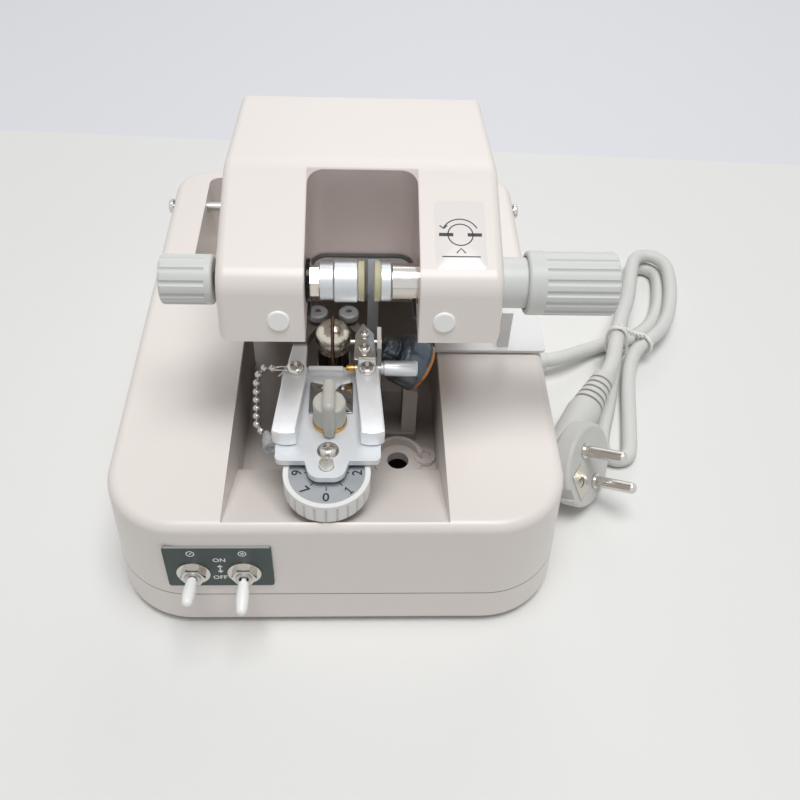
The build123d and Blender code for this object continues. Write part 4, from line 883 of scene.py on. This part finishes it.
footPlaces = [(x, y) for x in (-62.0, 62.0) for y in (-85.0, 85.0)]
footProfile = [(0.0, 0.0), (0.0, 4.3), (0.35, 4.6), (0.35, 5.1), (0.0, 5.4), (0.0, 6.5), (0.5, 7.0), (2.0, 7.0),
               (2.0, 3.7), (0.9, 3.7), (0.9, 0.0)]


def makeFeet():
    shells = [turned(footProfile, (x, y, 0), (0, 0, 1), 40) for x, y in footPlaces]
    addPiece("foot_pads", shells, finishes["foot_rubber"], "base", ["rubber_feet"])


makeFeet()


# Drain stopper: ribbed soft plug with a loop lug, on the chain's end

stopper = {
    "start": (-26.3, -73.7, 66.2),
    "ahead": (0.25, -1.0, 0.1),
    "profile": [(-1.6, 0.0), (-1.6, 0.9), (-0.3, 1.1), (0.0, 1.7), (1.2, 1.9), (1.5, 1.6), (2.3, 1.8), (2.6, 2.3),
                (3.6, 2.4), (4.0, 2.1), (6.9, 2.75), (7.5, 2.5), (7.5, 1.5), (5.2, 1.3), (5.0, 0.0)],
}


def makeStopper(facts):
    shell = turned(arcProfile(facts["profile"], 0.4), facts["start"], facts["ahead"], 48)
    addPiece("soft_stopper", [shell], finishes["stopper_clear"], "left_arm",
                       ["drain_stopper"], 60)


makeStopper(stopper)
print("soft pieces made")


# Marks: letters and strokes as thin solid prints, gathered into one mesh for each place

def textMesh(words, size, matrix, thick=0.03, bold=0.0):
    # Text is filled as a curve, made a mesh, and only then placed; sizes in millimetres
    curve = bpy.data.curves.new("words", "FONT")
    curve.body = words
    curve.size = size
    curve.align_x = "CENTER"
    curve.align_y = "CENTER"
    curve.extrude = thick / 2
    curve.offset = bold
    curve.resolution_u = 3
    holder = bpy.data.objects.new("words", curve)
    bpy.context.scene.collection.objects.link(holder)
    bpy.context.view_layer.update()
    mesh = bpy.data.meshes.new_from_object(holder)
    bpy.data.objects.remove(holder)
    mesh.transform(Matrix.Scale(mm, 4) @ matrix)
    return mesh


def strokeShell(path, width, matrix, thick=0.03):
    # A flat stroke: two rails each side of a path on the plane, above and below, closed at its ends
    path = np.array(path, float)
    ahead = np.gradient(path, axis=0)
    ahead /= np.linalg.norm(ahead, axis=1)[:, None]
    aside = np.column_stack([-ahead[:, 1], ahead[:, 0]]) * width / 2
    ring = np.stack([np.column_stack([path + s * aside, np.full(len(path), h)])
                     for s, h in ((1, thick), (-1, thick), (-1, 0.0), (1, 0.0))], 1)
    ends = [ring[one].mean(1, keepdims=True).repeat(4, 1) for one in (slice(0, 1), slice(-1, None))]
    closed = np.concatenate([ends[0], ring, ends[1]])
    turn = np.array(matrix)
    return closed @ turn[:3, :3].T + turn[:3, 3], False, True


def circlePath(x, y, radius, start=0.0, end=360.0, steps=40):
    angle = np.radians(np.linspace(start, end, steps))
    return np.column_stack([x + radius * np.cos(angle), y + radius * np.sin(angle)])


def addMarks(name, words, strokes, finish, body):
    gatherPiece(name, [*words, gridMesh(name, strokes)], finish, body)


def planeMatrix(origin, right, up):
    right = Vector(right).normalized()
    out = right.cross(Vector(up)).normalized()
    return Matrix.Translation(origin) @ Matrix((right, out.cross(right), out)).transposed().to_4x4()


# Depth dial: spun face, ticks and the digits 0 to 7, which turn with it

dialFace = {
    "middle": dialPlace["middle"], "height": 68.92, "inner": 2.75, "outer": 13.6,
    "digits": 8, "digitRadius": 10.9, "tick": (6.3, 8.0), "size": 5.0, "stroke": 0.48,
    "one": ([(-0.75, 0.75), (0.1, 1.65), (0.1, -1.55)], [(-0.75, -1.65), (0.95, -1.65)]),
}


def makeDialFace(facts):
    x, y = facts["middle"]
    low, high = facts["height"], facts["height"] + 0.16
    ring = [(low, facts["inner"]), (high, facts["inner"]), (high, facts["outer"]), (low, facts["outer"])]
    grid = turned(ring, (x, y, 0), (0, 0, 1), 96)[0]
    addPiece("dial_face", [(grid, True, True)], dialSilver(), "dial")
    words, strokes = [], []
    for digit in range(facts["digits"]):
        turn = Matrix.Translation((x, y, high)) @ Matrix.Rotation(2 * math.pi * digit / facts["digits"], 4, "Z")
        place = turn @ Matrix.Translation((0, -facts["digitRadius"], 0.02))
        if digit == 1:
            strokes += [strokeShell(path, facts["stroke"], place) for path in facts["one"]]
        else:
            words.append(textMesh(str(digit), facts["size"], place, bold=0.1))
        strokes.append(strokeShell([(0, -facts["tick"][0]), (0, -facts["tick"][1])], 0.42, turn))
    addMarks("dial_digits", words, strokes, inkFinish, "dial")


makeDialFace(dialFace)


# Switch panel: ON above, OFF below, a double arrow between, and a plain symbol over each switch

panelFace = {"lean": math.tan(math.radians(3)), "front": -111.0, "rim": 60.0, "proud": 0.86}


def onPanel(x, z):
    facts = panelFace
    y = facts["front"] - (facts["rim"] - z) * facts["lean"]
    out = unit((0, -1, facts["lean"]))
    return planeMatrix(np.array((x, y, z)) + out * facts["proud"], (1, 0, 0), (0, facts["lean"], 1))


def makePanelMarks():
    words = [textMesh("ON", 3.0, onPanel(-42.2, 42.4), bold=0.03),
             textMesh("OFF", 3.0, onPanel(-42.8, 32.0), bold=0.03)]
    arrow = onPanel(-42.3, 37.3)
    strokes = [strokeShell([(0, -1.6), (0, 1.6)], 0.45, arrow)]
    for end in (-1, 1):
        for share in (0.0, 0.35, 0.7):
            wide = 0.95 * (1 - share)
            reach = end * (1.3 + share * 1.1)
            strokes.append(strokeShell([(-wide, reach), (wide, reach)], 0.42, arrow))
    lens = onPanel(-52.1, 46.3)
    strokes.append(strokeShell(circlePath(0, 0, 1.35), 0.35, lens))
    strokes.append(strokeShell([(-0.5, -0.5), (0.5, 0.5)], 0.3, lens))
    wheel = onPanel(-33.7, 46.3)
    strokes.append(strokeShell(circlePath(0, 0, 1.35), 0.35, wheel))
    strokes.append(strokeShell(circlePath(0, 0, 0.45, steps=20), 0.3, wheel))
    addMarks("panel_marks", words, strokes, panelInk, "base")


makePanelMarks()


# Label film on the head's slope, with a plain drawing of a held disc and a turning arrow

filmFacts = {"middle": (41.2, -47.85, 138.65), "half": (8.6, 13.6), "slope": (0.0, 44.5, 15.5)}


def makeFilm(facts):
    # The film is a rounded rectangle: powers of cosine and sine, in two layers
    place = planeMatrix(facts["middle"], (1, 0, 0), facts["slope"])
    angle = np.linspace(0, 2 * math.pi, 96, endpoint=False)
    c, s = np.cos(angle), np.sin(angle)
    x = np.sign(c) * np.abs(c) ** 0.16 * facts["half"][0]
    y = np.sign(s) * np.abs(s) ** 0.16 * facts["half"][1]
    rows = []
    for share, height in ((0.0, -0.05), (1.0, -0.05), (1.0, 0.04), (0.985, 0.06), (0.0, 0.06)):
        rows.append(np.column_stack([x * share, y * share, np.full(len(x), height)]))
    turn = np.array(place)
    grid = np.array(rows) @ turn[:3, :3].T + turn[:3, 3]
    addPiece("label_film", [(grid, False, True)], filmFinish, "head")
    ink = place @ Matrix.Translation((0, 0, 0.06))
    strokes = [
        strokeShell(circlePath(0, 0, 4.2, steps=60), 0.42, ink),
        strokeShell(circlePath(0, 0, 6.2, 25, 155, 40), 0.42, ink),
        strokeShell([(-6.9, 3.6), (-5.6, 2.4)], 0.42, ink),
        strokeShell([(-4.3, 3.7), (-5.5, 2.4)], 0.42, ink),
        strokeShell([(-7.2, 0.0), (-2.4, 0.0)], 1.3, ink),
        strokeShell([(2.4, 0.0), (7.2, 0.0)], 1.3, ink),
        strokeShell([(-6.4, -8.6), (6.4, -8.6)], 0.42, ink),
        strokeShell([(-1.5, -7.2), (0.0, -5.4), (1.5, -7.2)], 0.42, ink),
    ]
    addMarks("label_drawing", [], strokes, inkFinish, "head")


makeFilm(filmFacts)
print("marks made")


# Slot trim: a dark gasket along the slot's lower edge, square in plan with round corners

slotTrim = {"sides": (-9.9, 26.9), "front": -58.0, "rear": -23.6, "corner": 5.6, "height": 110.4}


def makeTrim(facts):
    # Straight legs joined by quarter circles
    left, right = facts["sides"]
    corner, rear = facts["corner"], facts["rear"]
    arc = np.linspace(0, math.pi / 2, 12)
    leftLeg = [(left, y) for y in np.linspace(facts["front"], rear - corner, 8)]
    leftArc = np.column_stack([left + corner - corner * np.cos(arc), rear - corner + corner * np.sin(arc)])
    rightArc = np.column_stack([right - corner + corner * np.sin(arc), rear - corner + corner * np.cos(arc)])
    rightLeg = [(right, y) for y in np.linspace(rear - corner, facts["front"], 8)]
    path = np.concatenate([leftLeg[:-1], leftArc, rightArc, rightLeg[1:]])
    path = np.column_stack([path, np.full(len(path), facts["height"])])
    addPiece("slot_gasket", [openTube(path, 0.75)], finishes["foot_rubber"], "head")


makeTrim(slotTrim)


# Side screw: knurled grip, thin shank and brass tip

thumb = {"line": (-49.8, 77.4), "grip": [(15.8, 0.0), (15.8, 2.4), (16.9, 2.4), (16.9, 2.9), (17.4, 3.0), (29.2, 3.0),
                                       (29.8, 2.5), (29.8, 1.2), (29.3, 0.0)],
         "shank": [(6.0, 0.0), (6.0, 1.2), (18.2, 1.2), (18.2, 0.0)],
         "tip": [(2.6, 0.0), (2.6, 0.9), (3.0, 1.25), (6.1, 1.25), (6.1, 0.0)]}


def makeThumb(facts):
    origin = (0, *facts["line"])
    grip = turned(arcProfile(facts["grip"], 0.2, 3), origin, (1, 0, 0), 144, 36, 0.16, (17.6, 29.4), 0.6)
    shank = turned(facts["shank"], origin, (1, 0, 0), 32)
    addPiece("thumb_grip", [grip, shank], finishes["satin_aluminium"], "side_screw",
             ["thumb_screw"])
    addPiece("thumb_tip", [turned(arcProfile(facts["tip"], 0.2, 3), origin, (1, 0, 0), 32)], finishes["brass"],
             "side_screw")


makeThumb(thumb)


# Cam knob: turned body, rounded blade that overhangs the front, brass ring

cam = {"middle": (-3.0, -73.0), "seat": 74.3, "radius": 6.0, "height": 9.6, "thick": 2.15, "round": 2.0,
       "blade": [(-8.8, 73.5), (-6.7, 73.5), (-6.2, 75.0), (5.2, 75.0), (6.4, 78.0), (6.6, 89.9), (-8.6, 89.9)]}


def makeCam(facts):
    # A turned body with the blade's slab standing in it, over a turned ring
    x, y = facts["middle"]
    seat, radius = facts["seat"], facts["radius"]
    body = [(seat, 0.0), (seat, radius), (seat + facts["height"] - 0.6, radius * 0.985),
            (seat + facts["height"], radius * 0.9), (seat + facts["height"] + 0.05, 0.0)]
    outline = closedOutline(facts["blade"], 2.6)
    blade = slab(outline, ((x, y, 0), (0, 1, 0), (0, 0, 1), (1, 0, 0)), facts["thick"], facts["round"])
    ring = [(seat - 1.3, 0.0), (seat - 1.3, radius + 0.3), (seat, radius + 0.3), (seat, 0.0)]
    addPiece("cam_grip", [turned(arcProfile(body, 0.5), (x, y, 0), (0, 0, 1), 72), blade],
             nodeFinishes["cam_knob"], "cam", ["cam_knob"])
    addPiece("cam_ring", [turned(arcProfile(ring, 0.25, 3), (x, y, 0), (0, 0, 1), 72)], finishes["brass"], "cam")


makeCam(cam)


# Guide arms: a bar with a bulged front, an eye round its pivot and a slimmer finger behind

armFacts = {
    "left": {"pivot": (-16.1, -53.2), "splay": -2.9, "finger": -14.8, "disc": -8.6, "depth": 4.0},
    "right": {"pivot": (10.6, -53.2), "splay": 2.1, "finger": 10.4, "disc": 3.4, "depth": 1.4},
}
armRun = {"tip": -84.8, "width": 8.6, "low": 73.2, "top": 80.0, "fingerAt": -35.0, "discAt": -25.5, "bulge": 1.0}


def makeArms():
    # The bar's front falls back by the square of the share across; its rear is a half circle round the pivot
    for side, facts in armFacts.items():
        pivot = np.array(facts["pivot"])
        tip = np.array((pivot[0] + facts["splay"], armRun["tip"]))
        along = unit(tip - pivot)
        aside = np.array((-along[1], along[0])) * armRun["width"] / 2
        t = np.linspace(-1, 1, 13)[1:-1, None]
        front = tip + aside * t - along * armRun["bulge"] * t ** 2
        eye = [pivot - along * armRun["width"] / 2 * math.cos(a) + aside * math.sin(a)
               for a in np.linspace(math.pi / 2, -math.pi / 2, 13)]
        corner = tip - along * armRun["bulge"]
        bar = np.concatenate([[corner - aside], front, [corner + aside], eye])
        x, y = facts["disc"], armRun["discAt"]
        finger = [(pivot[0] - 3.6, pivot[1]), (pivot[0] + 3.6, pivot[1]), (facts["finger"] + 2.5, armRun["fingerAt"]),
                  (x + 2.6, y), (x + 1.5, y + 2.4), (x - 1.5, y + 2.4), (x - 2.6, y),
                  (facts["finger"] - 2.5, armRun["fingerAt"])]
        meshes = [plateMesh(closedOutline(bar, 0.8, 4), armRun["low"], armRun["top"], 0.45),
                  plateMesh(closedOutline(finger, 2.0), armRun["top"] - facts["depth"], armRun["top"] - 0.04, 0.3)]
        gatherPiece("guide_arm_" + side, meshes, nodeFinishes["left_guide_arm"], side + "_arm",
                    [side + "_guide_arm"])


# Sheet spring: a satin stem and two polished leaves between the arms

leafSheet = {
    "stem": [(-10.2, -54.0), (-6.4, -54.9), (-3.9, -58.6), (-3.7, -66.0), (-1.8, -66.0), (-1.6, -58.6), (0.9, -54.9),
             (4.7, -54.0), (4.7, -50.4), (-10.2, -50.4)],
    "leaf": [(-10.9, -69.5), (-8.4, -69.3), (-5.6, -67.9), (-3.9, -65.0), (-3.6, -61.0), (-4.6, -57.0), (-7.2, -54.4),
             (-10.9, -53.6)],
    "middle": -2.75,
}


def makeLeaves(facts):
    # One leaf and its mirror image about the sheet's middle line
    leaf = np.array(facts["leaf"])
    other = np.column_stack([2 * facts["middle"] - leaf[:, 0], leaf[:, 1]])[::-1]
    leaves = [plateMesh(closedOutline(outline, 1.4), 72.96, 73.72, 0.15, 3) for outline in (leaf, other)]
    gatherPiece("spring_leaves", leaves, leafSteel, "carriage", ["web_spring"])
    gatherPiece("spring_stem", [plateMesh(closedOutline(facts["stem"], 0.8), 72.94, 73.9, 0.2, 3)],
                nodeFinishes["guide_plate"], "carriage")


# Wheel motor: stepped neck and a drawn can with a seam groove before its end ring

motorShape = {
    "neck": [(0.0, 0.0), (0.0, 4.7), (1.5, 4.7), (1.6, 4.5), (1.9, 4.5), (2.0, 4.7), (4.55, 4.7), (4.6, 5.8),
             (5.8, 5.8), (5.8, 0.0)],
    "can": [(5.82, 0.0), (5.82, 7.4), (6.3, 8.9), (7.4, 9.9), (8.6, 10.4), (9.6, 10.5), (15.9, 10.5), (16.0, 10.3),
            (16.5, 10.3), (16.6, 10.5), (17.28, 10.5), (17.3, 10.2), (18.2, 10.2), (18.5, 9.9), (18.5, 4.0),
            (18.2, 3.8), (18.2, 0.0)],
}


def makeMotor(facts):
    for part, node, slotName in (("neck", "motor_neck", "brushed_steel"), ("can", "wheel_motor", "motor_dark")):
        shell = turned(arcProfile(facts[part], 0.15, 3), motorAxis["start"], motorAxis["ahead"], 96)
        addPiece("motor_" + part + "_turned", [shell], finishes["motor_dark"], "base", [node])


# Bead chain: beads on a wire, and a two-wire clasp under the left pivot's screw

chain = {
    "beads": [(-24.8, -52.1, 79.2), (-28.0, -51.2, 78.4), (-30.2, -52.9, 76.6), (-30.9, -55.2, 74.4),
              (-30.9, -57.7, 72.2), (-30.9, -59.8, 70.0), (-30.8, -62.3, 68.2), (-30.7, -65.2, 66.9),
              (-30.4, -68.5, 66.0), (-28.6, -71.6, 66.0)],
    "radius": 1.5,
    "clasp": [[(-18.4, -52.6, 80.35), (-21.4, -52.3, 80.4), (-23.9, -52.1, 79.7)],
              [(-18.6, -54.6, 80.35), (-21.6, -54.2, 80.4), (-24.2, -53.2, 79.5)],
              [(-21.0, -55.4, 80.3), (-22.2, -56.4, 79.6), (-22.0, -55.0, 78.6)]],
    "end": (-26.6, -73.4, 66.2),
}


def ballShell(middle, radius, rings=12, sides=20):
    # A sphere as circles between its two poles
    angle = np.linspace(0, math.pi, rings)
    profile = np.column_stack([-radius * np.cos(angle), radius * np.sin(angle)])
    return turned(profile, middle, (0.1, 0.2, 1.0), sides)


def makeChain(facts):
    # A ball at each stop, a straight wire between neighbours
    shells = [ballShell(bead, facts["radius"]) for bead in facts["beads"]]
    stops = [*facts["beads"], facts["end"]]
    shells += [openTube([first, last], 0.34, 8) for first, last in zip(stops[:-1], stops[1:])]
    shells += [openTube(path, 0.34, 8) for path in facts["clasp"]]
    addPiece("chain_beads", shells, chainSteel, "left_arm", ["bead_chain"])


makeArms()
makeLeaves(leafSheet)
makeMotor(motorShape)
makeChain(chain)
print("small parts made")


# CAD nodes keep their shape and take the finish of their slot, or one of their own

def dressNode(name, finish):
    for slot in nodes[name].material_slots:
        slot.material = finish.material


slotOf = {row["node"]: row["material_slot"] for row in frame["record"]["subparts"]}
changedSlots = {"right_collar": "knob_grey", "arm_clip": "polished_steel", "left_guide_disc": "casting_grey",
                "right_guide_disc": "casting_grey", "dial_stem": "polished_steel"}
for name, slotName in slotOf.items():
    finish = nodeFinishes.get(name, finishes[changedSlots.get(name, slotName)])
    dressNode(name, nodeFinishes[finish] if isinstance(finish, str) else finish)
print("frame nodes dressed")


# Box corners as plain lists

def corners(box):
    return [list(corner) for corner in box]
